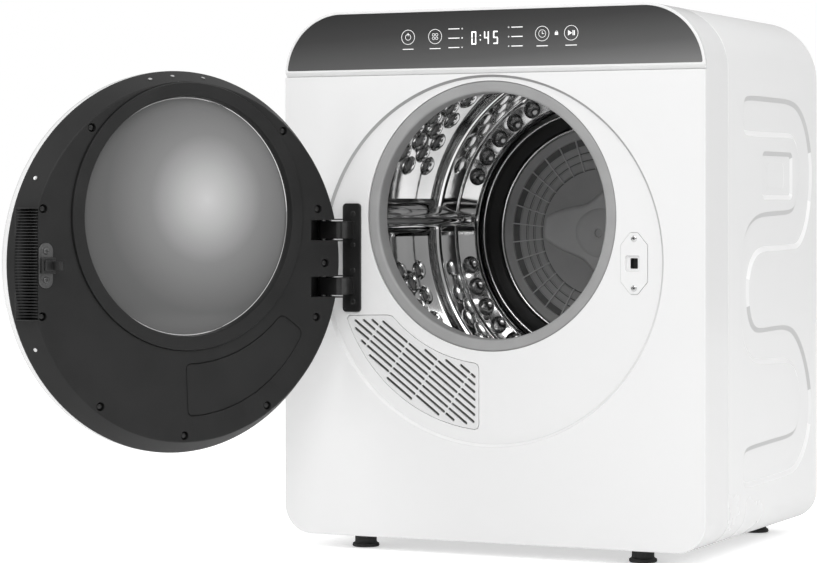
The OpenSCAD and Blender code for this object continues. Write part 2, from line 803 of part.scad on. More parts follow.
module notches(grow) for (s = [-1, 1]) translate([0, 0, 2 + s * arm_pitch / 2])
    block(-door_r - 5, hinge_x + arm_reach + 11 + grow, -knuckle_r - 3 - grow, liner_d + 5,
        -arm_h / 2 - notch_gap - grow, arm_h / 2 + notch_gap + grow);

// glass, ring and window share the port's axis
module on_port() translate([0, 0, port_up]) children();

module door_outer_shell() color("white") door_placed() difference() {
    turned([[0, door_t - door_dome], [door_r - 16, door_t + 1.5 - door_dome],
        [door_r - 6, 8 - door_dome], [door_r - door_t, -11], [door_r - door_t, -0.5],
        [door_r, -0.5], [door_r - 0.4, -12], [door_r - 4, 5 - door_dome],
        [door_r - 14, 0.8 - door_dome], [0, -door_dome]]);
    on_port() rod(port_r - 7, -door_dome - 1, door_dome, 0, 0);
    on_port() rod(port_r + 4, -door_dome - 1, 2.2, 0, 0);
}

module door_window() color([0.2, 0.2, 0.22, 0.6]) door_placed() on_port()
    rod(port_r + 3.8, -door_dome - 0.5, 1.7, 0, 0);

// solid of the liner, moved inwards by inset
module liner_solid(inset = 0) turned([[0, liner_d - inset], [flat_r - inset, liner_d - inset],
    [door_r - inset, 1.5], [door_r - inset, 0], [0, 0]]);

module door_liner() color([0.2, 0.2, 0.2]) door_placed() difference() {
    union() {
        difference() {
            liner_solid();
            translate([0, -0.01, 0]) liner_solid(door_t);
        }
        intersection() {
            union() {
                notches(1.5);
                for (s = [-1, 1]) for (t = [-1, 1]) translate([hinge_x, 0, 2 + s * arm_pitch / 2
                    + t * (arm_h / 2 + notch_gap + boss_l / 2)])
                    cylinder(r = 6, h = boss_l, center = true);
                grip_block(2);
            }
            union() {
                liner_solid();
                rod(door_r - door_t - 0.4, -12, 12.5);
            }
        }
    }
    notches(0);
    grip_block(0);
    on_port() rod(dam_r + 0.2, 0, 60, 0, 0);
    for (s = [-1, 1]) translate([hinge_x, 0, 2 + s * arm_pitch / 2 - arm_h])
        cylinder(r = pin_r, h = 2 * arm_h);
    for (p = big_screws()) rod(3.6, liner_d - 1, 5, p[0], p[1]);
    for (s = [-1, 1]) rod(1.9, 0, 60, plate_u, latch_v + s * rear_screw);
    banana();
}

// finger grip let into the corner of the liner at the free edge
module grip_block(grow) block(door_r - 23 - grow, door_r + 10, 9 - grow, liner_d + (grow > 0 ? 0 : 5),
    -56 - grow, 56 + grow);

// shallow recessed panel that faces the vent grille when the door is shut
module banana() slab(liner_d - 1, 5) intersection() {
    difference() {
        circle(door_r - 39);
        translate([0, port_up]) circle(dam_r + 13);
    }
    translate([-door_r, -door_r]) square([door_r - 8, door_r - 53]);
}

function big_screws() = [for (a = [50, 130, 18, -17, -54, -88, -122]) (flat_r - 7) * [cos(a), sin(a)]];

module glass_ring() color([0.2, 0.2, 0.2]) door_placed() on_port() difference() {
    rod(dam_r, glass_back_n, rim_gap + recess_t - glass_back_n);
    rod(port_r - 7.5, 0, 60);
    rod(glass_r + 0.2, 0, glass_back_n + glass_t);
}

module door_glass() color([0.6, 0.65, 0.7, 0.4]) door_placed() on_port()
    rod(glass_r, glass_back_n, glass_t);

module hinge_pins() color("silver") door_placed() for (s = [-1, 1])
    translate([hinge_x, 0, 2 + s * arm_pitch / 2])
        cylinder(r = pin_r, h = arm_h + 2 * notch_gap + 2 * boss_l, center = true);

module latch_plate() color("silver") door_placed() difference() {
    slab(liner_d, 1.2) rounded(plate_u - 8, plate_u + 8, latch_v - 23, latch_v + 23, 7.9);
    for (s = [-1, 1]) rod(1.9, 0, 60, plate_u, latch_v + s * rear_screw);
}

module latch_hook() color([0.1, 0.1, 0.1]) door_placed() {
    block(latch_u - 3.5, plate_u + 6, liner_d + 1.2, liner_d + 2.4, latch_v - 8.5, latch_v + 8.5);
    block(latch_u - 1.7, latch_u + 1.8, liner_d + 1.2, hook_n, latch_v - 4.5, latch_v + 4.5);
    block(latch_u - 4, latch_u + 1.8, hook_n - 5, hook_n, latch_v - 4.5, latch_v + 4.5);
}

module grip_insert() color([0.1, 0.1, 0.1]) door_placed() difference() {
    intersection() {
        grip_block(-0.2);
        liner_solid(0.3);
    }
    translate([door_r - 5, liner_d - 4.6, -50]) cylinder(r = 14, h = 100);
}

module liner_screws() color("black") door_placed() {
    for (p = big_screws()) rod(3.5, liner_d - 0.9, 0.6, p[0], p[1]);
    for (s = [-1, 1]) rod(1.8, liner_d - 6, 8, plate_u, latch_v + s * rear_screw);
}

front_shell();
rear_shell();
back_cover();
base_pan();
feet();
control_bezel();
control_glass();
display_module();
control_board();
front_bulkhead();
front_felt();
door_gasket();
vent_grille();
latch_receiver();
front_screws();
door_switch();
switch_plunger();
hinge_bracket();
rear_bulkhead();
rear_seal();
rear_bearing_ring();
filter_trim();
filter_cover();
filter_mesh();
heater_housing();
heater_core();
thermal_cutouts();
fan_housing();
fan_axle();
exhaust_spigot();
motor_housing();
motor_bracket();
capacitor();
drum_belt();
fan_belt();
roller_axles();
cord_gland();
back_screws();
drum_shell();
drum_back();
lifters();
motor_shaft();
drive_pulley();
fan_drive_pulley();
fan_impeller();
fan_pulley();
roller_left();
roller_right();
tension_arm();
idler_pulley();
door_outer_shell();
door_window();
door_liner();
glass_ring();
door_glass();
hinge_pins();
latch_plate();
latch_hook();
grip_insert();
liner_screws();
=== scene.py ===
"""Studio model of a compact clothes dryer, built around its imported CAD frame."""
import json
from math import acos, asin, atan2, cos, hypot, pi, radians, sin, sqrt, tan

import bmesh
import bpy
from mathutils import Matrix, Vector
from mathutils.geometry import delaunay_2d_cdt


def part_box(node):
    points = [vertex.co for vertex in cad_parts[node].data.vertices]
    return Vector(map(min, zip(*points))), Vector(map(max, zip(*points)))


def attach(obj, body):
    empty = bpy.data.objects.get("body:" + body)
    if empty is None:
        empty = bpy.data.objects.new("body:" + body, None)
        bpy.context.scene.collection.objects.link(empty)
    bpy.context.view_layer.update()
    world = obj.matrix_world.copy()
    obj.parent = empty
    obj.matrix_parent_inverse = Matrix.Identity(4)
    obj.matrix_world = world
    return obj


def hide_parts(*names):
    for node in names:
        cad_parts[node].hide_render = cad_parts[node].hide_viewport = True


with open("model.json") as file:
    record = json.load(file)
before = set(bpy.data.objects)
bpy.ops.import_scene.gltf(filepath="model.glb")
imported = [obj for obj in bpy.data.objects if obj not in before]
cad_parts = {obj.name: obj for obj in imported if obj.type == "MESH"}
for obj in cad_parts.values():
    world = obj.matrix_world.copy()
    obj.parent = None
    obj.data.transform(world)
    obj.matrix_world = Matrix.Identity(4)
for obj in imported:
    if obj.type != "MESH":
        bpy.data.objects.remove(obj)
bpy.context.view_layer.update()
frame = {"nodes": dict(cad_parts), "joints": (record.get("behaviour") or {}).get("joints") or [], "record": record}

MM = 0.001
NODES = frame["nodes"]

# ---------- sizes in mm in the cabinet's own frame, read from the frame where it has them ----------
SHELL_LOW, SHELL_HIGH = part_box("front_shell")
FRONT_Y = SHELL_LOW.y
FOOT_Z = SHELL_LOW.z
CAB_HALF = SHELL_HIGH.x / MM
CAB_H = (SHELL_HIGH.z - FOOT_Z) / MM
SKIRT_D = (SHELL_HIGH.y - FRONT_Y) / MM
CAB_D = (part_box("back_cover")[1].y - FRONT_Y) / MM
TOP_R = 69
BOTTOM_R = 32
WALL = 2.5
ARC_STEPS = 20
SHARP = 32


def middle(node):
    """Centre (x, z) of a round node and its radius, in the cabinet's frame in mm."""
    low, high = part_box(node)
    centre = ((low.x + high.x) / 2 / MM, ((low.z + high.z) / 2 - FOOT_Z) / MM)
    return centre, (high.z - low.z) / 2 / MM


def depths(node):
    """Front and rear depth of a node behind the front plane, in mm."""
    low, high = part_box(node)
    return (low.y - FRONT_Y) / MM, (high.y - FRONT_Y) / MM


PORT, GASKET_R = middle("door_gasket")
PORT_R = GASKET_R - 12.4
DRUM, DRUM_R = middle("drum_shell")
FILTER_R = middle("filter_cover")[1]
RING_R = middle("rear_bearing_ring")[1]
HINGE = next(j for j in frame["joints"] if j["name"] == "door_hinge")
HINGE_POS = Vector(HINGE["pos_m"])
DOOR_OPEN = radians(HINGE["range_deg"][1])
HINGE_X = HINGE_POS.x / MM
RIM_GAP = (FRONT_Y - HINGE_POS.y) / MM
DOOR_Z = (HINGE_POS.z - FOOT_Z) / MM
DOOR_R = 200.5
RECESS_R = DOOR_R - 1
RECESS_T = 4.1
FLAT_R = 188.0
LINER_D = 25.6
BRACKET_W = 21.9
DOME = 22.5
PORT_UP = PORT[1] - DOOR_Z
FRONT_TOP = 502.4
PANEL_LOW = 509.2
DRUM_Y0, DRUM_Y1 = 30.0, depths("drum_back")[0]

CABINET = Matrix.Translation((0, FRONT_Y, FOOT_Z)) @ Matrix.Scale(MM, 4)
DOOR = (
    Matrix.Translation((HINGE_POS.x, HINGE_POS.y, HINGE_POS.z))
    @ Matrix.Rotation(-DOOR_OPEN, 4, "Z")
    @ Matrix.Translation((-HINGE_POS.x, 0, 0))
    @ Matrix.Scale(MM, 4)
)

# Undoes the scale of CABINET or DOOR for a mesh that is already in metres.
IN_METRES = Matrix.Scale(1 / MM, 4)


# ---------- mesh building ----------
def encloses(loop, point):
    """True when a point lies within a closed outline."""
    hit = False
    x, y = point
    for (x0, y0), (x1, y1) in zip(loop, loop[1:] + loop[:1]):
        if (y0 > y) != (y1 > y) and x < x0 + (x1 - x0) * (y - y0) / (y1 - y0):
            hit = not hit
    return hit


class Shape:
    """Collects rings of points in mm and joins them into one closed mesh."""

    def __init__(self):
        self.points = []
        self.faces = []
        self.slots = []

    def ring(self, points):
        start = len(self.points)
        self.points.extend(points)
        return list(range(start, len(self.points)))

    def face(self, ids, slot=0):
        self.faces.append(ids)
        self.slots.append(slot)

    def bridge(self, a, b, slot=0):
        n = len(a)
        for i in range(n):
            j = (i + 1) % n
            self.face([a[i], a[j], b[j], b[i]], slot)

    def loft(self, rings, slot=0):
        for a, b in zip(rings, rings[1:]):
            self.bridge(a, b, slot)

    def close_ends(self, rings, slot=0):
        self.cap([rings[0]], slot)
        self.cap([rings[-1]], slot)

    def mesh(self, name, place):
        made = bpy.data.meshes.new(name)
        made.from_pydata([place @ Vector(p) for p in self.points], [], self.faces)
        return made

    def cap(self, rings, slot=0):
        """Fills a flat region: the first ring is its edge and the others are holes in it."""
        ids = [i for r in rings for i in r]
        spread = [max(self.points[i][k] for i in ids) - min(self.points[i][k] for i in ids) for k in range(3)]
        u, v = [k for k in range(3) if k != spread.index(min(spread))]
        loops = [[(self.points[i][u], self.points[i][v]) for i in r] for r in rings]
        edges, base = [], 0
        for r in rings:
            edges += [(base + k, base + (k + 1) % len(r)) for k in range(len(r))]
            base += len(r)
        spots, _, tris, names = delaunay_2d_cdt([Vector(p) for p in sum(loops, [])], edges, [], 1, 1e-7)[:4]
        for k, spot in enumerate(spots):
            if not names[k]:
                extra = list(self.points[ids[0]])
                extra[u], extra[v] = spot
                names[k].append(len(ids))
                ids += self.ring([tuple(extra)])
        for tri in tris:
            mid = sum((spots[k] for k in tri), Vector((0, 0))) / len(tri)
            if sum(encloses(loop, mid) for loop in loops) % 2:
                self.face([ids[names[k][0]] for k in tri], slot)

    def build(self, name, place, materials, sharp=SHARP, body="cabinet"):
        mesh = self.mesh(name, place)
        for m in materials:
            mesh.materials.append(m)
        for poly, s in zip(mesh.polygons, self.slots):
            poly.material_index = s
        tidy(mesh, sharp)
        obj = linked(name, mesh)
        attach(obj, body)
        return weighed(obj)


def linked(name, data):
    obj = bpy.data.objects.new(name, data)
    bpy.context.scene.collection.objects.link(obj)
    return obj


def evaluated(obj):
    """A new mesh of the object with its modifiers applied."""
    bpy.context.view_layer.update()
    graph = bpy.context.evaluated_depsgraph_get()
    return bpy.data.meshes.new_from_object(obj.evaluated_get(graph), depsgraph=graph)


def smooth(mesh, sharp):
    for poly in mesh.polygons:
        poly.use_smooth = True
    mesh.set_sharp_from_angle(angle=radians(sharp))


def weighed(obj):
    """Lets the large flat faces set the shading normals, so that only the small folds look round."""
    mod = obj.modifiers.new("weigh", "WEIGHTED_NORMAL")
    mod.keep_sharp = True
    mod.weight = 100
    mesh = evaluated(obj)
    mesh.name = obj.name
    obj.modifiers.clear()
    obj.data = mesh
    return obj


def tidy(mesh, sharp):
    """Merges doubles, points the faces outwards and shades smooth up to an angle."""
    bm = bmesh.new()
    bm.from_mesh(mesh)
    bmesh.ops.remove_doubles(bm, verts=bm.verts, dist=2e-6)
    bmesh.ops.dissolve_degenerate(bm, edges=bm.edges, dist=1e-7)
    bmesh.ops.recalc_face_normals(bm, faces=bm.faces)
    bm.to_mesh(mesh)
    bm.free()
    smooth(mesh, sharp)


def circle(centre, r, n=128):
    return [
        (centre[0] + r * cos(2 * pi * i / n),
         centre[1] + r * sin(2 * pi * i / n))
        for i in range(n)
    ]


def rounded(points, radii, steps=10):
    """Closed outline with each corner rounded by its own radius."""
    out = []
    n = len(points)
    for i, r in enumerate(radii):
        p = Vector(points[i])
        a = (Vector(points[i - 1]) - p).normalized()
        b = (Vector(points[(i + 1) % n]) - p).normalized()
        if r <= 0:
            out.append(tuple(p))
            continue
        half = acos(max(-1, min(1, a.dot(b)))) / 2
        reach = r / tan(half)
        centre = p + (a + b).normalized() * (r / sin(half))
        start = p + a * reach - centre
        end = p + b * reach - centre
        turn = start.angle_signed(end)
        for k in range(steps + 1):
            v = start.copy()
            v.rotate(Matrix.Rotation(-turn * k / steps, 2))
            out.append(tuple(centre + v))
    return out


def outline(inset=0.0, low=None, high=None):
    """The cabinet's front outline moved inwards, cut at a lower or upper height if given."""
    w = CAB_HALF - inset
    rt, rb = TOP_R - inset, BOTTOM_R - inset
    z0, z1 = inset, CAB_H - inset
    if low is not None:
        z0, rb = low, 0
    if high is not None:
        z1, rt = high, 0
    corners = [(-w, z0), (w, z0), (w, z1), (-w, z1)]
    loop = rounded(corners, [rb, rb, rt, rt], ARC_STEPS)
    rise = z0 - (z1 - rt)
    if rt and rise > 0:
        x = w - rt + sqrt(rt ** 2 - rise ** 2)
        loop = [(-x, z0), (x, z0)] + [p for p in loop if p[1] > z0 + 0.01]
    return loop


def area(loop):
    n = len(loop)
    return sum(
        loop[i][0] * loop[(i + 1) % n][1] - loop[(i + 1) % n][0] * loop[i][1]
        for i in range(n)
    ) / 2


def oriented(loop, positive=True):
    return list(loop) if (area(loop) > 0) == positive else list(reversed(loop))


def shifted(loop, d):
    """Moves a loop to its left by d, with mitred corners."""
    n = len(loop)
    out = []
    for i in range(n):
        p0, p1, p2 = Vector(loop[i - 1]), Vector(loop[i]), Vector(loop[(i + 1) % n])
        a, b = (p1 - p0), (p2 - p1)
        if a.length < 1e-9 or b.length < 1e-9:
            a = b = a if a.length > b.length else b
        na = Vector((-a.y, a.x)).normalized()
        nb = Vector((-b.y, b.x)).normalized()
        m = (na + nb)
        m = m / max(0.3, m.length_squared / 2) if m.length > 1e-6 else na
        out.append((p1.x + m.x * d, p1.y + m.y * d))
    return out


def flat(loop, y):
    return [(p[0], y, p[1]) for p in loop]


def upright(loop, z):
    return [(p[0], p[1], z) for p in loop]


def fillet(r, steps=4):
    """(inward shift, depth) pairs of a rounded front edge, from the face to the wall."""
    return [
        (r * (1 - sin(pi / 2 * k / steps)), r * (1 - cos(pi / 2 * k / steps)))
        for k in range(steps + 1)
    ]


def plate(shape, outer, holes, y0, y1, front=0.6, back=0.0, hole_front=None):
    """A flat plate from y0 to y1 with rounded edges round its outline and its holes."""
    fronts, backs = [], []
    for k, loop in enumerate([oriented(outer)] + [oriented(h, False) for h in holes]):
        rim = front if k == 0 or hole_front is None else hole_front
        rings = []
        if rim > 0:
            rings += [shape.ring(flat(shifted(loop, d), y0 + t)) for d, t in fillet(rim)]
        else:
            rings.append(shape.ring(flat(loop, y0)))
        if back > 0:
            rings += [shape.ring(flat(shifted(loop, d), y1 - t)) for d, t in reversed(fillet(back))]
        else:
            rings.append(shape.ring(flat(loop, y1)))
        shape.loft(rings)
        fronts.append(rings[0])
        backs.append(rings[-1])
    shape.cap(fronts)
    shape.cap(backs)


def revolve(shape, profile, centre=(0, 0), n=128, lay=flat):
    """Turns (radius, height) points about an axis through centre; radius 0 makes a pole."""
    rings = []
    for r, height in profile:
        if r <= 1e-6:
            rings.append(shape.ring(lay([centre], height)) * n)
        else:
            rings.append(shape.ring(lay(circle(centre, r, n), height)))
    for a, b in zip(rings, rings[1:] + rings[:1]):
        pole_a, pole_b = a[0] == a[1], b[0] == b[1]
        if pole_a and pole_b:
            continue
        for i in range(n):
            j = (i + 1) % n
            shape.face([a[i], b[j], b[i]] if pole_a else
                       [a[i], a[j], b[i]] if pole_b else [a[i], a[j], b[j], b[i]])


def chaikin(points, rounds=3):
    """Softens a closed loop by cutting its corners a few times."""
    for _ in range(rounds):
        n = len(points)
        out = []
        for i in range(n):
            (ax, ay), (bx, by) = points[i], points[(i + 1) % n]
            out.append((ax * 0.75 + bx * 0.25, ay * 0.75 + by * 0.25))
            out.append((ax * 0.25 + bx * 0.75, ay * 0.25 + by * 0.75))
        points = out
    return points


def rect(x0, x1, z0, z1, r, steps=8):
    return rounded([(x0, z0), (x1, z0), (x1, z1), (x0, z1)], [r] * 4, steps)


def stadium(centre, angle, length, width, steps=6):
    """Slot with round ends, turned by angle."""
    c, s = cos(angle), sin(angle)
    r = width / 2
    out = []
    for end, first in ((length / 2 - r, -pi / 2), (r - length / 2, pi / 2)):
        for k in range(steps + 1):
            a = first + pi * k / steps
            u, v = end + r * cos(a), r * sin(a)
            out.append((centre[0] + u * c - v * s, centre[1] + u * s + v * c))
    return out


def brick(shape, x0, x1, y0, y1, z0, z1, r=0.5):
    """Block with rounded edges, drawn as a plate along y."""
    plate(shape, rect(x0, x1, z0, z1, r, 3), [], y0, y1, r * 0.8, r * 0.5)


# ---------- Geometry Nodes ----------
class Tree:
    """A small Geometry Nodes tree with named sizes, turned into a plain mesh by bake()."""

    def __init__(self, name, **sizes):
        self.name = name
        self.sizes = sizes
        self.group = bpy.data.node_groups.new(name, "GeometryNodeTree")
        face = self.group.interface
        face.new_socket(name="Geometry", in_out="INPUT", socket_type="NodeSocketGeometry")
        for key, value in sizes.items():
            kind = "NodeSocketInt" if isinstance(value, int) else "NodeSocketFloat"
            face.new_socket(name=key, in_out="INPUT", socket_type=kind)
        face.new_socket(name="Geometry", in_out="OUTPUT", socket_type="NodeSocketGeometry")
        self.input = self.group.nodes.new("NodeGroupInput")
        self.output = self.group.nodes.new("NodeGroupOutput")

    def add(self, kind, wires=None, **values):
        """Adds a node; wires maps its inputs to (node, output) pairs or to names of sizes."""
        n = self.group.nodes.new(kind)
        for key, value in values.items():
            if key in n.bl_rna.properties:
                setattr(n, key, value)
            else:
                n.inputs[key].default_value = value
        for key, source in (wires or {}).items():
            if isinstance(source, str):
                source = (self.input, source)
            self.group.links.new(source[0].outputs[source[1]], n.inputs[key])
        return n

    def math(self, operation, a, b=None):
        n = self.group.nodes.new("ShaderNodeMath")
        n.operation = operation
        for i, v in enumerate((a, b)):
            if v is None:
                continue
            if isinstance(v, (int, float)):
                n.inputs[i].default_value = v
            elif isinstance(v, str):
                self.group.links.new(self.input.outputs[v], n.inputs[i])
            else:
                self.group.links.new(v[0].outputs[v[1]], n.inputs[i])
        return (n, 0)

    def bake(self, last, mat, body, place, base=None):
        """Realises the tree with one material and links the plain mesh to a body."""
        real = self.add("GeometryNodeRealizeInstances", {"Geometry": last})
        paint = self.add("GeometryNodeSetMaterial", {"Geometry": (real, 0)}, Material=mat)
        self.group.links.new(paint.outputs[0], self.output.inputs[0])
        seed = linked(self.name + "_seed", base or bpy.data.meshes.new("seed"))
        mod = seed.modifiers.new("nodes", "NODES")
        mod.node_group = self.group
        for item in self.group.interface.items_tree:
            if item.in_out == "INPUT" and item.name in self.sizes:
                mod[item.identifier] = self.sizes[item.name]
        mesh = evaluated(seed)
        bpy.data.objects.remove(seed)
        mesh.transform(place)
        mesh.name = self.name
        smooth(mesh, SHARP)
        obj = linked(self.name, mesh)
        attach(obj, body)
        return obj


def unit_object(shape, name):
    """A pattern piece, in metres, that a tree copies; it is removed after use."""
    mesh = bpy.data.meshes.new(name)
    mesh.from_pydata([Vector(p) * MM for p in shape.points], [], shape.faces)
    tidy(mesh, SHARP)
    return linked(name, mesh)


def ring_of(name, shape, mat, body, centre, count, radius, start=0.0, skip=None):
    """Copies a pattern piece round the y axis: its x points outwards and its y is depth."""
    unit = unit_object(shape, name + "_unit")
    t = Tree(name, Count=count, Radius=radius * MM, Start=start)
    dots = t.add("GeometryNodeMeshLine", {"Count": "Count"})
    dots.inputs["Offset"].default_value = (0, 0, 0)
    index = t.add("GeometryNodeInputIndex")
    step = t.math("DIVIDE", 2 * pi, "Count")
    angle = t.math("ADD", t.math("MULTIPLY", (index, 0), step), "Start")
    x = t.math("MULTIPLY", t.math("COSINE", angle), "Radius")
    z = t.math("MULTIPLY", t.math("SINE", angle), "Radius")
    where = t.add("ShaderNodeCombineXYZ", {"X": x, "Z": z})
    moved = t.add("GeometryNodeSetPosition", {"Geometry": (dots, 0), "Position": (where, 0)})
    turn = t.add("ShaderNodeCombineXYZ", {"Y": t.math("MULTIPLY", angle, -1.0)})
    piece = t.add("GeometryNodeObjectInfo", Object=unit)
    copies = t.add("GeometryNodeInstanceOnPoints", {
        "Points": (moved, 0), "Instance": (piece, "Geometry"), "Rotation": (turn, 0)})
    if skip:
        part = t.math("FLOORED_MODULO", t.math("SUBTRACT", angle, skip[0]), skip[1])
        away = t.math("MINIMUM", part, t.math("SUBTRACT", skip[1], part))
        keep = t.math("GREATER_THAN", away, skip[2])
        t.group.links.new(keep[0].outputs[0], copies.inputs["Selection"])
    shift = Matrix.Translation((centre[0] * MM, 0, centre[1] * MM))
    obj = t.bake((copies, 0), mat, body, place=CABINET @ IN_METRES @ shift)
    bpy.data.objects.remove(unit)
    return obj


def at_points(name, shape, spots, mat, body, place, size=1.0):
    """Copies a pattern piece to (x, y, z, turn about y) spots in mm."""
    unit = unit_object(shape, name + "_unit")
    base = bpy.data.meshes.new(name + "_spots")
    base.from_pydata([Vector(p[:3]) * MM for p in spots], [], [])
    turns = base.attributes.new("turn", "FLOAT_VECTOR", "POINT")
    for item, p in zip(turns.data, spots):
        item.vector = (0, p[3], 0)
    t = Tree(name, Size=float(size))
    turn = t.add("GeometryNodeInputNamedAttribute", data_type="FLOAT_VECTOR", Name="turn")
    piece = t.add("GeometryNodeObjectInfo", Object=unit)
    scale = t.add("ShaderNodeCombineXYZ", {"X": "Size", "Y": "Size", "Z": "Size"})
    copies = t.add("GeometryNodeInstanceOnPoints", {
        "Points": (t.input, "Geometry"), "Instance": (piece, "Geometry"),
        "Rotation": (turn, 0), "Scale": (scale, 0)})
    obj = t.bake((copies, 0), mat, body, place @ IN_METRES, base)
    bpy.data.objects.remove(unit)
    return obj


def pebbles(name, mat, body, rows, columns, step, pitch, radius, size, first_y, lifter, clear):
    """Staggered rows of convex bumps on the inside of a drum, left out near the lifters."""
    t = Tree(name, Rows=rows, Columns=columns, Step=step, Pitch=pitch * MM, Radius=radius * MM,
             Along=size[0] * MM, Across=size[1] * MM, Height=size[2] * MM)
    total = t.math("MULTIPLY", "Rows", "Columns")
    dots = t.add("GeometryNodeMeshLine", {"Count": total})
    dots.inputs["Offset"].default_value = (0, 0, 0)
    index = t.add("GeometryNodeInputIndex")
    row = t.math("FLOOR", t.math("DIVIDE", t.math("ADD", (index, 0), 0.01), "Columns"))
    column = t.math("SUBTRACT", (index, 0), t.math("MULTIPLY", row, "Columns"))
    odd = t.math("FLOORED_MODULO", row, 2.0)
    lean = t.math("MULTIPLY", odd, 0.5)
    angle = t.math("ADD", t.math("MULTIPLY", t.math("ADD", column, lean), "Step"), lifter)
    x = t.math("MULTIPLY", t.math("COSINE", angle), "Radius")
    z = t.math("MULTIPLY", t.math("SINE", angle), "Radius")
    y = t.math("MULTIPLY", row, "Pitch")
    where = t.add("ShaderNodeCombineXYZ", {"X": x, "Y": y, "Z": z})
    moved = t.add("GeometryNodeSetPosition", {"Geometry": (dots, 0), "Position": (where, 0)})
    ball = t.add("GeometryNodeMeshUVSphere", Segments=20, Rings=10)
    ball.inputs["Radius"].default_value = 1.0
    turn = t.add("ShaderNodeCombineXYZ", {"Y": t.math("MULTIPLY", angle, -1.0)})
    scale = t.add("ShaderNodeCombineXYZ", {"X": "Height", "Y": "Along", "Z": "Across"})
    copies = t.add("GeometryNodeInstanceOnPoints", {
        "Points": (moved, 0), "Instance": (ball, 0), "Rotation": (turn, 0), "Scale": (scale, 0)})
    third = 2 * pi / 3
    part = t.math("FLOORED_MODULO", t.math("SUBTRACT", angle, lifter), third)
    away = t.math("MINIMUM", part, t.math("SUBTRACT", third, part))
    keep = t.math("GREATER_THAN", away, clear)
    t.group.links.new(keep[0].outputs[0], copies.inputs["Selection"])
    shift = Matrix.Translation((DRUM[0] * MM, first_y * MM, DRUM[1] * MM))
    return t.bake((copies, 0), mat, body, place=CABINET @ IN_METRES @ shift)


def screw_shape(r=3.4, height=1.2):
    """Low domed cross-head screw facing -y, with its rim at y = 0."""
    s = Shape()
    profile = [(r, 0.3), (r, -0.1), (r * 0.93, -height * 0.55), (r * 0.75, -height * 0.9),
               (r * 0.5, -height), (0, -height * 1.04)]
    revolve(s, profile + [(0, 0.3)], n=28)
    return s


def cross_shape(r=3.4, height=1.2):
    """Cross recess on a screw's head, drawn as a thin raised cross; its flat finish is painted shade where dark
    and a painted highlight where bright.
    """
    s = Shape()
    arm, half = r * 0.55, r * 0.13
    top = -height * 1.04 - 0.05
    for turn in (0, 1):
        a, b = (arm, half) if turn else (half, arm)
        brick(s, -a, a, top, top + 0.5, -b, b, half * 0.5)
    return s


def flipped(shape):
    """Turns a pattern piece to face +y."""
    shape.points = [(x, -y, z) for x, y, z in shape.points]
    return shape


# ---------- materials ----------
def grey(v):
    return (v, v, v)


def greys(*stops):
    return [(place, grey(level)) for place, level in stops]


def material(name, colour, rough=0.5, metal=0.0, **extra):
    m = bpy.data.materials.new(name)
    m.use_nodes = True
    s = m.node_tree.nodes["Principled BSDF"]
    s.inputs["Base Color"].default_value = (*colour, 1)
    s.inputs["Roughness"].default_value = rough
    s.inputs["Metallic"].default_value = metal
    for key, value in extra.items():
        s.inputs[key.replace("_", " ")].default_value = value
    return m


def node(m, kind, wires=None, **values):
    n = m.node_tree.nodes.new("ShaderNode" + kind)
    for key, value in values.items():
        if key in n.bl_rna.properties:
            setattr(n, key, value)
        else:
            n.inputs[key].default_value = value
    for key, (source, out) in (wires or {}).items():
        m.node_tree.links.new(source.outputs[out], n.inputs[key])
    return n


def feed(m, source, out, key):
    m.node_tree.links.new(source.outputs[out], shader(m).inputs[key])


def shader(m):
    return m.node_tree.nodes["Principled BSDF"]


def noise(m, scale, detail=4.0):
    where = node(m, "TexCoord")
    return node(m, "TexNoise", {"Vector": (where, "Object")}, Scale=scale, Detail=detail)


def ramp(m, source, out, stops):
    r = node(m, "ValToRGB", {"Fac": (source, out)})
    while len(r.color_ramp.elements) < len(stops):
        r.color_ramp.elements.new(0.5)
    for e, (place, colour) in zip(r.color_ramp.elements, stops):
        e.position = place
        e.color = (*colour, 1)
    return r


def grain(m, amount, scale, distance=0.0004):
    """Fine surface texture."""
    fine = noise(m, scale, 3.0)
    lift = node(m, "Bump", {"Height": (fine, "Fac")}, Strength=amount, Distance=distance)
    feed(m, lift, "Normal", "Normal")


def mapped(m, source, out, **ends):
    """Map Range node; ends are From_Min, From_Max, To_Min and To_Max."""
    return node(m, "MapRange", {"Value": (source, out)}, **{k.replace("_", " "): v for k, v in ends.items()})


def spread(m, source, low, high):
    """Roughness that varies with a noise."""
    feed(m, mapped(m, source, "Fac", To_Min=low, To_Max=high), "Result", "Roughness")


def varied(name, low, high, scale, rough, metal=0.0, bump=0.0, fine=600, **extra):
    """A finish with slight variation in colour and roughness, and a fine texture."""
    m = material(name, low, rough[0], metal, **extra)
    cloud = noise(m, scale, 5.0)
    feed(m, ramp(m, cloud, "Fac", [(0.35, low), (0.65, high)]), "Color", "Base Color")
    spread(m, cloud, *rough)
    if bump:
        grain(m, bump, fine)
    return m


def slope(m, axis, start, end, out_key, stops):
    """Colour that changes steadily along a direction, in metres of the object's own frame."""
    where = node(m, "TexCoord")
    flat_axis = node(m, "VectorMath", {0: (where, "Object")}, operation="DOT_PRODUCT")
    flat_axis.inputs[1].default_value = axis
    spot = mapped(m, flat_axis, "Value", From_Min=start, From_Max=end)
    feed(m, ramp(m, spot, "Result", stops), "Color", out_key)


# Centre and reach of the painted reflection on the door glass.
PAINTED_REFLECTION_SPOT = Vector((-24, 20, 66))
PAINTED_REFLECTION_REACH = 0.2


def panel_glass():
    """Dark control glass with a painted reflection that makes it lighter towards its foot."""
    m = material("panel_glass", grey(0.03), 0.12, 0.0, Specular_IOR_Level=0.5)
    top, low = FOOT_Z + 0.570, FOOT_Z + 0.509
    slope(m, (0.055, 0, -0.9), -0.9 * top - 0.014, -0.9 * low + 0.014, "Base Color",
          greys((0.0, 0.02), (0.35, 0.045), (0.7, 0.1), (1.0, 0.2)))
    spread(m, noise(m, 30, 3.0), 0.1, 0.14)
    return m


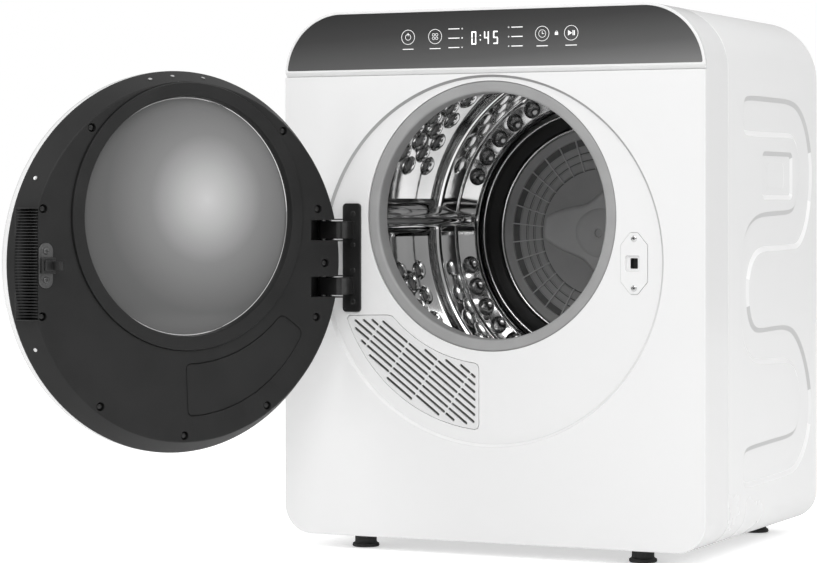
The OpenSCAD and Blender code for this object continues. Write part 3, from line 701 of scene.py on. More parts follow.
def door_glass():
    """Tinted glass with a painted reflection: a soft bright patch fixed to the pane."""
    m = material("door_glass", grey(0.2), 0.04, 0.0, Specular_IOR_Level=0.9)
    spot = DOOR @ PAINTED_REFLECTION_SPOT
    where = node(m, "TexCoord")
    away = node(m, "VectorMath", {0: (where, "Object")}, operation="DISTANCE")
    away.inputs[1].default_value = spot
    near = mapped(m, away, "Value", From_Max=PAINTED_REFLECTION_REACH)
    feed(m, ramp(m, near, "Result", greys((0.0, 0.58), (0.14, 0.45), (0.34, 0.22), (0.6, 0.11),
         (1.0, 0.06))),
         "Color", "Base Color")
    spread(m, noise(m, 8, 2.0), 0.02, 0.05)
    return m


def recess_edge():
    """The step round the door's recess, with painted shade at its top and painted light at its foot."""
    m = material("recess_edge", grey(0.5), 0.35)
    z = FOOT_Z + DOOR_Z * MM
    slope(m, (0, 0, 1), z - 0.2, z + 0.2, "Base Color",
          greys((0.0, 0.9), (0.3, 0.8), (0.55, 0.5), (1.0, 0.3)))
    spread(m, noise(m, 8, 2.0), 0.3, 0.4)
    return m


def drum_steel():
    m = material("drum_steel", grey(0.72), 0.06, 1.0)
    cloud = noise(m, 9, 4.0)
    feed(m, ramp(m, cloud, "Fac", greys((0.3, 0.66), (0.7, 0.86))), "Color", "Base Color")
    spread(m, cloud, 0.04, 0.09)
    grain(m, 0.03, 60, 0.002)
    return m


def glow(name, level):
    m = material(name, grey(level), 0.5, 0.0, Emission_Strength=0.6)
    cloud = noise(m, 90, 2.0)
    tone = ramp(m, cloud, "Fac", greys((0.3, level), (0.7, level * 1.1)))
    feed(m, tone, "Color", "Base Color")
    feed(m, tone, "Color", "Emission Color")
    return m


# key: name, lowest and highest grey, noise scale, roughness range, metal, bump, bump scale
PLAIN = {
    "white": ("gloss_white", 0.82, 0.825, 6, (0.16, 0.17), 0, 0.015, 260),
    "satin": ("satin_white", 0.76, 0.77, 14, (0.4, 0.43), 0, 0.05, 700),
    "black": ("black_moulding", 0.011, 0.015, 20, (0.34, 0.44), 0, 0.1, 900),
    "hinge": ("black_enamel", 0.012, 0.018, 25, (0.25, 0.33), 0.0, 0.05, 700),
    "gasket": ("gasket_rubber", 0.31, 0.34, 30, (0.5, 0.62), 0, 0.1, 800),
    "chrome": ("bright_trim", 0.8, 0.86, 40, (0.05, 0.1), 1.0),
    "screw": ("plated_screw", 0.6, 0.7, 60, (0.15, 0.25), 1.0, 0.05, 900),
    # Shaded and lit copies of the white for the side band's slopes: painted shade and painted light.
    "fold": ("side_fold", 0.55, 0.57, 8, (0.35, 0.4), 0, 0.02, 260),
    "bright": ("side_fold_lit", 0.93, 0.94, 8, (0.3, 0.35), 0, 0.02, 260),
    "shell": ("rear_gloss_white", 0.86, 0.865, 6, (0.26, 0.28), 0, 0.02, 260),
    # Darker steel for the rear dimples of the drum: painted shade.
    "dimple": ("dimple_steel", 0.2, 0.3, 30, (0.12, 0.2), 1.0, 0.02, 300),
    "ribs": ("filter_ribs", 0.6, 0.64, 25, (0.35, 0.45), 0, 0.06, 900),
    "gap": ("filter_shadow", 0.12, 0.16, 60, (0.5, 0.6), 0, 0.2, 1400),
    "filter": ("filter_moulding", 0.42, 0.46, 25, (0.4, 0.5), 0, 0.1, 900),
    "foot": ("foot_rubber", 0.012, 0.018, 30, (0.5, 0.7), 0, 0.2, 900),
    "felt": ("felt", 0.5, 0.62, 60, (0.85, 0.95), 0, 0.5, 1200),
    "dull": ("darkened_plate", 0.1, 0.14, 18, (0.35, 0.5), 1.0, 0.05, 500),
    "zinc": ("zinc_plate", 0.5, 0.62, 18, (0.3, 0.45), 1.0, 0.05, 500),
    "rear": ("rear_enamel", 0.62, 0.66, 16, (0.4, 0.5), 0, 0.12, 1100),
    "pan": ("dark_moulding", 0.035, 0.045, 22, (0.45, 0.55), 0, 0.15, 800),
    "inner": ("inner_moulding", 0.2, 0.24, 20, (0.45, 0.55), 0, 0.1, 800),
    "motor": ("motor_enamel", 0.1, 0.13, 20, (0.35, 0.5), 0.2, 0.1, 700),
    # Flat black for dark marks that stand for shade in slots and recesses: painted shade.
    "dark": ("dark_void", 0.006, 0.01, 20, (0.5, 0.6)),
}


def make_materials():
    made = {key: varied(name, grey(low), grey(high), *rest)
            for key, (name, low, high, *rest) in PLAIN.items()}
    made.update({
        "liner": varied("charcoal_moulding", grey(0.016), grey(0.02), 20, (0.42, 0.5), 0, 0.1, 900,
                        Specular_IOR_Level=0.22),
        "drum": drum_steel(),
        "edge": recess_edge(),
        "panel": panel_glass(),
        "marks": glow("panel_marks", 0.75),
        "lit": glow("lit_segments", 0.95),
        "glass": door_glass(),
        "board": varied("board_laminate", (0.01, 0.07, 0.03), (0.015, 0.09, 0.04), 50, (0.4, 0.5)),
        "ceramic": varied("ceramic", (0.5, 0.4, 0.3), (0.56, 0.46, 0.36), 40, (0.6, 0.7), 0, 0.2, 900),
    })
    return made


MAT = make_materials()
FINISH = {
    "white_shell": "white", "white_plastic": "satin", "rear_panel": "rear", "pan_plastic": "pan",
    "rubber_black": "foot", "gasket_rubber": "gasket", "felt": "felt", "panel_glass": "panel",
    "display_black": "black", "circuit_board": "board", "inner_plastic": "inner", "steel": "zinc",
    "screw_steel": "screw", "drum_steel": "drum", "black_plastic": "black", "hinge_black": "hinge",
    "liner_grey": "liner", "filter_grey": "filter", "heater_ceramic": "ceramic",
    "motor_paint": "motor", "door_glass": "glass", "window_tint": "black",
}


def paint_nodes():
    for part in frame["record"]["subparts"]:
        mesh = NODES[part["node"]].data
        mesh.materials.clear()
        mesh.materials.append(MAT[FINISH[part["material_slot"]]])


paint_nodes()


def stand_for(obj, slot, *nodes):
    """The piece stands for these CAD nodes; slot is not used."""
    if nodes:
        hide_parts(*nodes)
    return obj


# ---------- cabinet ----------
def recess_profile():
    """(radius, depth) of the sloped wall that leads from the front plane to the recess floor."""
    return [
        (RECESS_R + 0.1, 0), (RECESS_R - 0.1, 0.06), (RECESS_R - 0.5, 0.35),
        (RECESS_R - 3.0, RECESS_T - 0.5), (RECESS_R - 3.4, RECESS_T - 0.12),
        (RECESS_R - 4.2, RECESS_T),
    ]


def arc(centre, r, a0, a1, n=28):
    return [
        (centre[0] + r * cos(a0 + (a1 - a0) * k / n),
         centre[1] + r * sin(a0 + (a1 - a0) * k / n))
        for k in range(n + 1)
    ]


def vent_outline(grow=0.0):
    """Outline of the vent between the port and the foot of the door recess."""
    r_in = GASKET_R + 14 - grow
    r_out = RECESS_R - 17.5 + grow
    right = -12.5 + grow
    top = DOOR_Z - 60 + grow
    door_c = (0, DOOR_Z)
    c = 5.0
    inner_a = -pi - asin((top - c * 0.3 - PORT[1]) / r_in)
    inner_b = -acos((right - c) / r_in)
    outer_a = -acos((right - c) / r_out)
    outer_b = -pi - asin((top - c - DOOR_Z) / r_out)
    inner = arc(PORT, r_in, inner_a, inner_b)
    outer = arc(door_c, r_out, outer_a, outer_b)
    low = DOOR_Z - sqrt(r_out ** 2 - right ** 2)
    high = PORT[1] - sqrt(r_in ** 2 - right ** 2)
    ends = [(right - c * 0.3, high - c * 0.25), (right, high - c)]
    foot = [(right, low + c), (right - c * 0.3, low + c * 0.3)]
    tip = [(outer[-1][0] + 2.0, top - 1.2), (inner[0][0] - 6, top)]
    return inner + ends + foot + outer + tip


def receiver_centre():
    low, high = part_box("latch_receiver")
    return (low.x + high.x) / 2 / MM, ((low.z + high.z) / 2 - FOOT_Z) / MM


RECEIVER = receiver_centre()
RECEIVER_SCREW = 26


def receiver_outline(grow=0.0):
    cx, cz = RECEIVER
    w, h = 14.9 + grow, 32.2 + grow
    pts = [(-w, -h + 13), (-4, -h), (4, -h), (w, -h + 13), (w, h - 13), (4, h), (-4, h), (-w, h - 13)]
    return rounded([(cx + x, cz + z) for x, z in pts], [2.5, 3, 3, 2.5, 2.5, 3, 3, 2.5], 4)


def front_shell():
    s = Shape()
    n = 192
    skirt = [(0.02, 5.2), (0, 5.22), (0, SKIRT_D - 0.9), (1.0, SKIRT_D), (WALL, SKIRT_D), (WALL, 7.2),
             (2.4, 5.2)]
    rings = [s.ring(flat(outline(d), y)) for d, y in skirt]
    s.loft(rings + rings[:1])
    plate(s, outline(2.45, low=FRONT_TOP - 6), [], 5.22, 7.2, 0)
    face = outline(0, high=FRONT_TOP)
    rings = []
    for d, t in fillet(1.2, 4) + [(0, 5.2)]:
        loop = [(x, z if z < FRONT_TOP - 3 else FRONT_TOP - d * 0.2) for x, z in shifted(face, d)]
        rings.append(s.ring(flat(loop, t)))
    lip = [s.ring(flat(circle((0, DOOR_Z), r, n), y)) for r, y in recess_profile()]
    s.loft(rings)
    # The steep part of the recess wall takes the finish with painted shade at its top and painted light at its
    # foot.
    for k, (a, b) in enumerate(zip(lip, lip[1:])):
        s.bridge(a, b, 1 if k == 2 else 0)
    s.cap([rings[0], lip[0]])
    holes = [circle(PORT, GASKET_R + 0.3, n), vent_outline(0.2), receiver_outline(0.25)]
    back_y = RECESS_T + 3
    floors, backs = [lip[-1]], []
    for h in holes:
        loop = oriented(h, False)
        stages = [s.ring(flat(shifted(loop, d), RECESS_T + t)) for d, t in fillet(0.5, 2)]
        stages.append(s.ring(flat(loop, back_y)))
        s.loft(stages)
        floors.append(stages[0])
        backs.append(stages[-1])
    s.cap(floors)
    crown = RECESS_R + 0.6
    outer_back = s.ring(flat(circle((0, DOOR_Z), crown, n), back_y))
    outer_front = s.ring(flat(circle((0, DOOR_Z), crown, n), 5.2))
    s.cap([outer_back] + backs)
    s.bridge(outer_front, outer_back)
    s.cap([rings[-1], outer_front])
    obj = s.build("front_shell_moulding", CABINET, [MAT["white"], MAT["edge"]], 30)
    stand_for(obj, "white_shell", "front_shell")


def band_loop():
    """Serpentine recess pressed into the side wall, as (depth, height)."""
    return [
        (121, 461), (124, 474), (134, 480), (215, 480), (295, 480), (331, 468), (355, 444), (367, 412),
        (368, 385), (358, 350), (341, 327), (318, 313), (294, 312), (230, 311), (186, 311), (163, 305),
        (147, 292), (140, 272), (144, 248), (155, 233), (173, 227), (225, 228), (271, 228), (304, 221),
        (334, 200), (357, 168), (367, 137), (360, 103), (344, 83), (322, 68), (295, 59), (210, 58),
        (134, 57), (124, 62), (121, 73), (121, 90), (128, 99), (142, 102), (220, 104), (292, 105),
        (312, 112), (322, 128), (323, 146), (314, 166), (298, 179), (271, 186), (220, 187), (164, 189),
        (140, 198), (124, 214), (114, 240), (112, 276), (117, 310), (128, 331), (145, 344), (175, 353),
        (230, 355), (292, 356), (308, 365), (318, 384), (320, 404), (314, 424), (300, 435), (284, 437),
        (210, 436), (136, 436), (126, 438), (121, 448),
    ]


GRIP_WELL = (186, 294, 367.5, 420.5)
GRIP_POCKET = (212.5, 267.5, 380.5, 407.5)


def side_panel(s, side):
    """Flat of one side wall of the rear shell with its serpentine and its grip recess."""
    x = side * CAB_HALF
    y0, y1 = SKIRT_D + 0.9, CAB_D - 2

    def put(loop, inset, reach):
        return s.ring([(x - side * reach, p[0], p[1]) for p in shifted(loop, inset)])

    def wall(loop, a, b):
        """Joins two rings; faces that look down take the finish with painted shade, those that look up the one
        with painted light.
        """
        n = len(loop)
        for i in range(n):
            j = (i + 1) % n
            step = Vector(loop[j]) - Vector(loop[i])
            slope = step.x / step.length
            s.face([a[i], a[j], b[j], b[i]], 1 if slope < -0.3 else 2 if slope > 0.3 else 0)

    outer = s.ring([(x, p[0], p[1]) for p in
                    [(y0, BOTTOM_R), (y1, BOTTOM_R), (y1, CAB_H - TOP_R), (y0, CAB_H - TOP_R)]])
    band = oriented(chaikin(band_loop()), True)
    rings = [put(band, d, t) for d, t in ((0, 0), (0.7, 0.2), (4.6, 1.9), (5.4, 2.1))]
    for a, b in zip(rings, rings[1:]):
        wall(band, a, b)
    s.cap([rings[-1]])
    well = oriented(rect(*GRIP_WELL, 9), True)
    pocket = oriented(rect(*GRIP_POCKET, 7), True)
    steps = [put(well, d, t) for d, t in ((0, 0), (0.6, 0.2), (4.2, 1.9), (5.0, 2.1))]
    for a, b in zip(steps, steps[1:]):
        wall(well, a, b)
    walls = [put(pocket, d, t) for d, t in ((-1.4, 2.1), (-0.4, 2.5), (0, 3.4), (2.0, 18))]
    s.loft(walls)
    s.cap([steps[-1], walls[0][::-1]])
    s.cap([walls[-1]])
    s.cap([outer, rings[0][::-1], steps[0][::-1]])


def rear_shell():
    s = Shape()
    y0, y1 = SKIRT_D + 0.4, CAB_D - 2
    profile = [(WALL, y0), (1.0, y0), (0, y0 + 0.5), (0, y1), (WALL, y1)]
    loops = [outline(d) for d, _ in profile]
    rings = [s.ring(flat(loop, y)) for loop, (_, y) in zip(loops, profile)]
    count = len(rings[0])
    outside = outline(0)
    for k, (a, b) in enumerate(zip(rings, rings[1:] + rings[:1])):
        for i in range(count):
            j = (i + 1) % count
            on_side = min(abs(outside[i][0]), abs(outside[j][0])) > CAB_HALF - 0.001
            if k == 2 and on_side and abs(outside[i][1] - outside[j][1]) > 100:
                continue
            s.face([a[i], a[j], b[j], b[i]])
    for side in (-1, 1):
        side_panel(s, side)
    obj = s.build("rear_shell_moulding", CABINET, [MAT["shell"], MAT["fold"], MAT["bright"]], 30)
    stand_for(obj, "white_shell", "rear_shell")


def control_bezel():
    s = Shape()
    hole = rounded_low(outline(2.8, low=PANEL_LOW))
    plate(s, outline(0, low=FRONT_TOP + 4.3), [hole], 0, 3.7, 0.9, 0.4, hole_front=0.3)
    w = CAB_HALF - 0.6
    section = [(0.35, FRONT_TOP + 4.6), (3.6, FRONT_TOP + 0.5), (4.8, FRONT_TOP + 0.4),
               (4.8, FRONT_TOP + 4.6)]
    ends = [s.ring([(x, y, z) for y, z in section]) for x in (-w, w)]
    s.loft(ends)
    s.close_ends(ends)
    obj = s.build("control_bezel_moulding", CABINET, [MAT["white"]], 30)
    stand_for(obj, "white_plastic", "control_bezel")
    g = Shape()
    plate(g, rounded_low(outline(2.95, low=PANEL_LOW + 0.15)), [], 0.25, 3.2, 0.25)
    stand_for(g.build("control_glass_sheet", CABINET, [MAT["panel"]], 30), "panel_glass", "control_glass")


def rounded_low(loop):
    """Takes the sharp lower corners off a panel outline."""
    low = min(p[1] for p in loop)
    out = []
    n = len(loop)
    for i, p in enumerate(loop):
        q, r = loop[i - 1], loop[(i + 1) % n]
        if abs(p[1] - low) < 1e-6:
            out += bend(q, p, r, 1.6, 1.6, (0.0, 0.4, 1.0))
        else:
            out.append(p)
    return out


def bend(a, p, b, reach_a, reach_b, stops):
    """Points on a short curve that replaces the corner p and starts a reach away from it."""
    p = Vector(p)
    p0 = p + (Vector(a) - p).normalized() * reach_a
    p2 = p + (Vector(b) - p).normalized() * reach_b
    return [tuple(p0.lerp(p, t).lerp(p.lerp(p2, t), t)) for t in stops]


MARK_DEPTHS = (0.1, 0.24)


def mark_ring(s, c, r, w=0.45):
    plate(s, circle(c, r, 40), [circle(c, r - w, 40)], *MARK_DEPTHS, 0)


def mark_shape(s, points):
    plate(s, points, [], *MARK_DEPTHS, 0)


def mark_box(s, x0, x1, z0, z1):
    mark_shape(s, [(x0, z0), (x1, z0), (x1, z1), (x0, z1)])


def digit(s, x, z, segments, w=5.6, h=14.0, t=1.3):
    """Seven-segment figure from the names of its lit segments."""
    g = 0.35
    spans = {
        "a": (x + g, x + w - g, z + h - t, z + h), "d": (x + g, x + w - g, z, z + t),
        "g": (x + g, x + w - g, z + (h - t) / 2, z + (h + t) / 2),
        "f": (x, x + t, z + h / 2 + g, z + h - g), "b": (x + w - t, x + w, z + h / 2 + g, z + h - g),
        "e": (x, x + t, z + g, z + h / 2 - g), "c": (x + w - t, x + w, z + g, z + h / 2 - g),
    }
    for key in segments:
        mark_box(s, *spans[key])


MARKS_Z = 543.2


def panel_marks():
    s = Shape()
    z = MARKS_Z
    power, programme, clock, start = (-94.5, z), (-62.3, z), (62.7, z), (95.8, z)
    for c in (power, programme, clock, start):
        mark_ring(s, c, 8)
        mark_box(s, c[0] - 6.5, c[0] + 6.5, z - 13.4, z - 12.6)
    mark_ring(s, power, 3.4)
    mark_box(s, power[0] - 0.3, power[0] + 0.3, z + 1.4, z + 4.6)
    for dx in (-1.9, 1.9):
        for dz in (-1.9, 1.9):
            mark_ring(s, (programme[0] + dx, z + dz), 1.6, 0.4)
    mark_ring(s, clock, 4.2, 0.4)
    mark_box(s, clock[0] - 0.25, clock[0] + 0.25, z - 0.3, z + 2.8)
    mark_box(s, clock[0], clock[0] + 2.2, z - 0.3, z + 0.2)
    mark_shape(s, [(start[0] - 3.6, z - 2.8), (start[0] + 0.8, z), (start[0] - 3.6, z + 2.8)])
    for dx in (1.6, 3.2):
        mark_box(s, start[0] + dx, start[0] + dx + 0.9, z - 2.6, z + 2.6)
    mark_box(s, 77.2, 80.8, z - 1.8, z + 0.8)
    mark_ring(s, (79.0, z + 1.0), 1.4, 0.4)
    for side, x in ((-1, -30.3), (1, 24.0)):
        for dz in (7.7, -2.3, -12.4):
            zz = z + dz
            mark_ring(s, (x, zz), 0.75, 0.3)
            far = x + side * 3.2
            mark_box(s, min(far, far + side * 13), max(far, far + side * 13), zz - 0.45, zz + 0.45)
    obj = s.build("panel_marks", CABINET, [MAT["marks"]], 30)
    d = Shape()
    low = z - 9.7
    digit(d, -19.4, low, "abcdef")
    for dz in (4.2, 9.0):
        mark_box(d, -9.6, -8.3, low + dz, low + dz + 1.3)
    digit(d, -4.6, low, "bcfg")
    digit(d, 6.0, low, "acdfg")
    plate(d, circle((-30.3, z - 2.3), 0.55, 16), [], 0.08, 0.26, 0)
    d.build("display_segments", CABINET, [MAT["lit"]], 30)


def gasket():
    s = Shape()
    r0, r1 = PORT_R, GASKET_R
    profile = [(r1, 7.6), (r1, 6.2), (r1 - 0.5, 5.2), (r1 - 1.6, 4.6), (r1 - 4, 4.4), (r0 + 3.4, 4.5),
               (r0 + 1.5, 4.9), (r0 + 0.4, 6.0), (r0, 8.0), (r0, 26), (r0 + 2.6, 26), (r0 + 2.6, 9),
               (r0 + 3.6, 8.1)]
    revolve(s, profile, PORT, 192)
    stand_for(s.build("door_gasket_ring", CABINET, [MAT["gasket"]], 50), "gasket_rubber", "door_gasket")


VENT_TURN = radians(-36.9)
VENT_MID = (-92, DOOR_Z - 118)
ROW_PITCH, RIB_PITCH = 6.55, 39.4


def vent_slots():
    """Slots of the vent: slanting rows cut by ribs across them, kept inside the outline."""
    edge = vent_outline(-5.0)
    c, s = cos(VENT_TURN), sin(VENT_TURN)
    slots = []
    for row in range(-18, 19):
        for rib in range(-5, 6):
            run = []
            for k in range(73):
                u = rib * RIB_PITCH - 18.2 + k * 0.5 - row * 0.25
                v = row * ROW_PITCH
                p = (VENT_MID[0] + u * c - v * s, VENT_MID[1] + u * s + v * c)
                if encloses(edge, p):
                    run.append(u)
            if len(run) > 9:
                mid = (run[0] + run[-1]) / 2
                centre = (VENT_MID[0] + mid * c - row * ROW_PITCH * s,
                          VENT_MID[1] + mid * s + row * ROW_PITCH * c)
                slots.append(stadium(centre, VENT_TURN, run[-1] - run[0] + 2.6, 3.0, 4))
    return slots


def vent():
    s = Shape()
    plate(s, vent_outline(-0.2), vent_slots(), RECESS_T - 0.4, RECESS_T + 2.6, 0.5, 0, hole_front=0.35)
    stand_for(s.build("vent_grille_plate", CABINET, [MAT["satin"]], 40), "white_plastic", "vent_grille")
    b = Shape()
    plate(b, vent_outline(-0.6), [], RECESS_T + 6.5, RECESS_T + 8, 0)
    b.build("vent_baffle", CABINET, [MAT["inner"]], 40)


def receiver():
    cx, cz = RECEIVER
    s = Shape()
    slot = rect(cx - 5.1, cx + 3.3, cz - 5.5, cz + 5.5, 0.8, 3)
    well = rect(cx - 9.4, cx + 5.9, cz - 8.3, cz + 8.3, 1.6, 4)
    eyes = [circle((cx, cz + k * RECEIVER_SCREW), 1.9, 20) for k in (-1, 1)]
    plate(s, receiver_outline(), [well] + eyes, RECESS_T - 0.9, RECESS_T + 2.4, 0.5, 0, hole_front=0.6)
    plate(s, rect(cx - 11, cx + 7.5, cz - 10, cz + 10, 2), [slot], RECESS_T + 2.0, RECESS_T + 3.6, 0.3)
    obj = s.build("latch_receiver_plate", CABINET, [MAT["white"]], 35)
    stand_for(obj, "white_plastic", "latch_receiver")
    b = Shape()
    brick(b, cx - 5.6, cx + 3.8, RECESS_T + 9, RECESS_T + 11, cz - 6, cz + 6)
    b.build("latch_slot_shadow", CABINET, [MAT["dark"]], 35)


def front_screws():
    cx, cz = RECEIVER
    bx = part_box("hinge_bracket")[1].x / MM - BRACKET_W / 2 + 2
    spots = [(cx, RECESS_T - 0.9, cz + k * RECEIVER_SCREW, 0.4) for k in (-1, 1)]
    a = at_points("receiver_screws", screw_shape(3.4), spots, MAT["screw"], "cabinet", CABINET)
    at = [(bx, RECESS_T - 2.5 + 0.2, DOOR_Z + 2 + k * d, 0.6 + d) for k in (-1, 1) for d in (14, 48)]
    b = at_points("bracket_screws", screw_shape(3.0, 0.5), at, MAT["hinge"], "cabinet", CABINET)
    stand_for(a, "screw_steel", "front_screws")
    # Dark crosses on the screw heads: painted shade in their cross recesses.
    c = at_points("receiver_screw_crosses", cross_shape(3.4), spots, MAT["dark"], "cabinet", CABINET)
    e = at_points("bracket_screw_crosses", cross_shape(3.0, 0.5), at, MAT["dark"], "cabinet", CABINET)


def feet():
    low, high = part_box("feet")
    s = Shape()
    xs = (low.x / MM + 15, high.x / MM - 15)
    ys = ((low.y - FRONT_Y) / MM + 15, (high.y - FRONT_Y) / MM - 15)
    h = FOOT_Z / MM
    profile = [(0, -h), (14.0, -h), (15, -h + 1), (14.6, -h + 3.6), (12.4, -h + 4.8), (12.0, -h + 6),
               (12.0, -3.2), (13.2, -2.6), (13.2, 0.1), (0, 0.1)]
    for side in (-1, 1):
        for x, y in ((side * (xs[1] - 20), ys[0]), (side * xs[1], ys[1])):
            revolve(s, profile, (x, y), 48, upright)
    stand_for(s.build("rubber_feet", CABINET, [MAT["foot"]], 40), "rubber_black", "feet")


front_shell()
rear_shell()
control_bezel()
panel_marks()
gasket()
vent()
receiver()
front_screws()
feet()


# ---------- door ----------
FLAT_N = LINER_D
NOTCH_X = (HINGE_X - 40, HINGE_X + 33)
ARM_Z = (2 - 30.5, 2 + 30.5)
WELLS = [(181, a) for a in (50, 130, 18, -17, -54, -88, -122)] + [(170, a) for a in (161, -159, -179)]
RIM_WELLS = [78, 86, 97, 26.5, -26.5]
RIM_AT = (194.3, 12.8)
LATCH_AT = (169.7, -1.5)
LATCH_SCREW = 14.7
NOTCH_HALF = 11


def carve(obj, shape, place):
    """Cuts a shape out of a piece and leaves it a plain mesh."""
    mesh = shape.mesh("cutter", place)
    tidy(mesh, 180)
    cutter = linked("cutter", mesh)
    cut = obj.modifiers.new("cut", "BOOLEAN")
    cut.operation, cut.solver, cut.object = "DIFFERENCE", "EXACT", cutter
    made = evaluated(obj)
    obj.modifiers.clear()
    obj.data = made
    bpy.data.objects.remove(cutter)
    tidy(made, SHARP)
    return weighed(obj)


def block(s, x0, x1, y0, y1, z0, z1):
    a = s.ring([(x0, y0, z0), (x1, y0, z0), (x1, y0, z1), (x0, y0, z1)])
    b = s.ring([(x0, y1, z0), (x1, y1, z0), (x1, y1, z1), (x0, y1, z1)])
    s.bridge(a, b)
    s.face(a)
    s.face(b[::-1])


def prism_z(s, loop, z0, z1, r=0.6):
    """Outline in x and y extruded upwards, with rounded upper and lower edges."""
    loop = oriented(loop)
    rings = [s.ring([(p[0], p[1], z0 + t) for p in shifted(loop, d)]) for d, t in fillet(r, 3)]
    rings += [s.ring([(p[0], p[1], z1 - t) for p in shifted(loop, d)]) for d, t in reversed(fillet(r, 3))]
    s.loft(rings)
    s.close_ends(rings)


def well_spots():
    return [(r * cos(radians(a)), r * sin(radians(a))) for r, a in WELLS]


def groove_loop(inset):
    """Outline of the shallow panel under the glass, drawn in the door's own frame."""
    inner = arc((0, PORT_UP), 153.5 + inset, radians(-92), radians(-42), 8)
    outer = arc((0, 0), 161.7 - inset, radians(-28), radians(-91), 8)
    loop = [(-p[0], p[1]) for p in inner + outer]
    n = len(inner)
    ends = {0: 7, n - 1: 10, n: 10, n + len(outer) - 1: 7}
    pts = []
    for i, p in enumerate(loop):
        if i in ends:
            a, b = Vector(loop[i - 1]), Vector(loop[(i + 1) % len(loop)])
            r = max(1.0, ends[i] - inset)
            reaches = [min(r, (end - Vector(p)).length * 0.9) for end in (a, b)]
            pts += bend(a, p, b, *reaches, (0, 0.25, 0.5, 0.75, 1))
        else:
            pts.append(p)
    return pts


def liner():
    s = Shape()
    profile = [(0, FLAT_N), (FLAT_R - 1.6, FLAT_N), (FLAT_R - 0.5, FLAT_N - 0.3),
               (FLAT_R + 0.3, FLAT_N - 1.1),
               (DOOR_R - 0.7, 3.0), (DOOR_R - 0.1, 1.6), (DOOR_R - 0.1, 0.2), (DOOR_R - 2.5, 0.2),
               (FLAT_R - 2, FLAT_N - 3.2), (0, FLAT_N - 3.2)]
    revolve(s, profile, (0, 0), 192)
    obj = s.build("door_liner_moulding", DOOR, [MAT["liner"]], 32, "door")
    c = Shape()
    revolve(c, [(0, 0), (140.6, 0), (140.6, 40), (0, 40)], (0, PORT_UP), 160)
    for x, z in well_spots():
        revolve(c, [(0, FLAT_N - 9), (4.6, FLAT_N - 9), (4.6, 40), (0, 40)], (x, z), 28)
    for z in ARM_Z:
        block(c, -DOOR_R - 20, NOTCH_X[1], -20, 60, z - NOTCH_HALF, z + NOTCH_HALF)
    block(c, DOOR_R - 22.5, DOOR_R + 20, 9, 60, -56, 56)
    ring = Shape()
    edge = oriented(groove_loop(0))
    plate(ring, edge, [shifted(edge, 1.5)], FLAT_N - 1.1, FLAT_N + 5, 0)
    carve(obj, c, DOOR)
    carve(obj, ring, DOOR)
    stand_for(obj, "liner_grey", "door_liner")


def liner_wells():
    """Walls of the hinge notches and screw wells, which close the liner behind its openings."""
    s = Shape()
    for z in ARM_Z:
        x0, x1 = -DOOR_R + 5, NOTCH_X[1]
        block(s, x0, x1 + 1.2, 1.5, FLAT_N - 0.6, z + NOTCH_HALF, z + NOTCH_HALF + 1.2)
        block(s, x0, x1 + 1.2, 1.5, FLAT_N - 0.6, z - NOTCH_HALF - 1.2, z - NOTCH_HALF)
        block(s, x1, x1 + 1.2, 1.52, FLAT_N - 0.62, z - 10.99, z + 10.99)
        block(s, x0 + 1, x1, -7.5, -6.5, z - NOTCH_HALF, z + NOTCH_HALF)
    s.build("liner_pockets", DOOR, [MAT["liner"]], 30, "door")
    cup = Shape()
    revolve(cup, [(0, -8.2), (5.2, -8.2), (5.2, -0.3), (4.55, -0.3), (4.55, -7.6), (0, -7.6)], n=24)
    spots = [(x, FLAT_N, z, 0) for x, z in well_spots()]
    stand = at_points("screw_wells", cup, spots, MAT["liner"], "door", DOOR)
    head = flipped(screw_shape(3.3, 1.4))
    spots = [(x, FLAT_N - 3.4, z, 0.35 * i) for i, (x, z) in enumerate(well_spots())]
    screws = at_points("liner_screw_heads", head, spots, MAT["hinge"], "door", DOOR)
    stand_for(screws, "black_plastic", "liner_screws")
    # Bright crosses on the black screw heads: painted highlight.
    cross = flipped(cross_shape(3.3, 1.4))
    marks = at_points("liner_screw_crosses", cross, spots, MAT["screw"], "door", DOOR, 0.8)


def rim_screws():
    """Small screws let into the sloping edge of the liner."""
    s = Shape()
    lean = atan2(DOOR_R - FLAT_R, LINER_D)
    for a in RIM_WELLS:
        t = radians(a)
        for r, y0, y1, slot in ((3.0, -0.15, 0.25, 0), (2.1, 0.2, 0.9, 1)):
            rings = []
            for radius, h in ((r, y0), (r, y1), (r * 0.6, y1 + 0.1)):
                ring = []
                for k in range(20):
                    q = 2 * pi * k / 20
                    u, v = radius * cos(q), radius * sin(q)
                    out = RIM_AT[0] + h * cos(lean) - v * sin(lean)
                    deep = RIM_AT[1] + h * sin(lean) + v * cos(lean)
                    ring.append((out * cos(t) - u * sin(t), deep, out * sin(t) + u * cos(t)))
                rings.append(s.ring(ring))
            s.loft(rings, slot)
            s.close_ends(rings, slot)
    s.build("rim_screws", DOOR, [MAT["black"], MAT["screw"]], 30, "door")


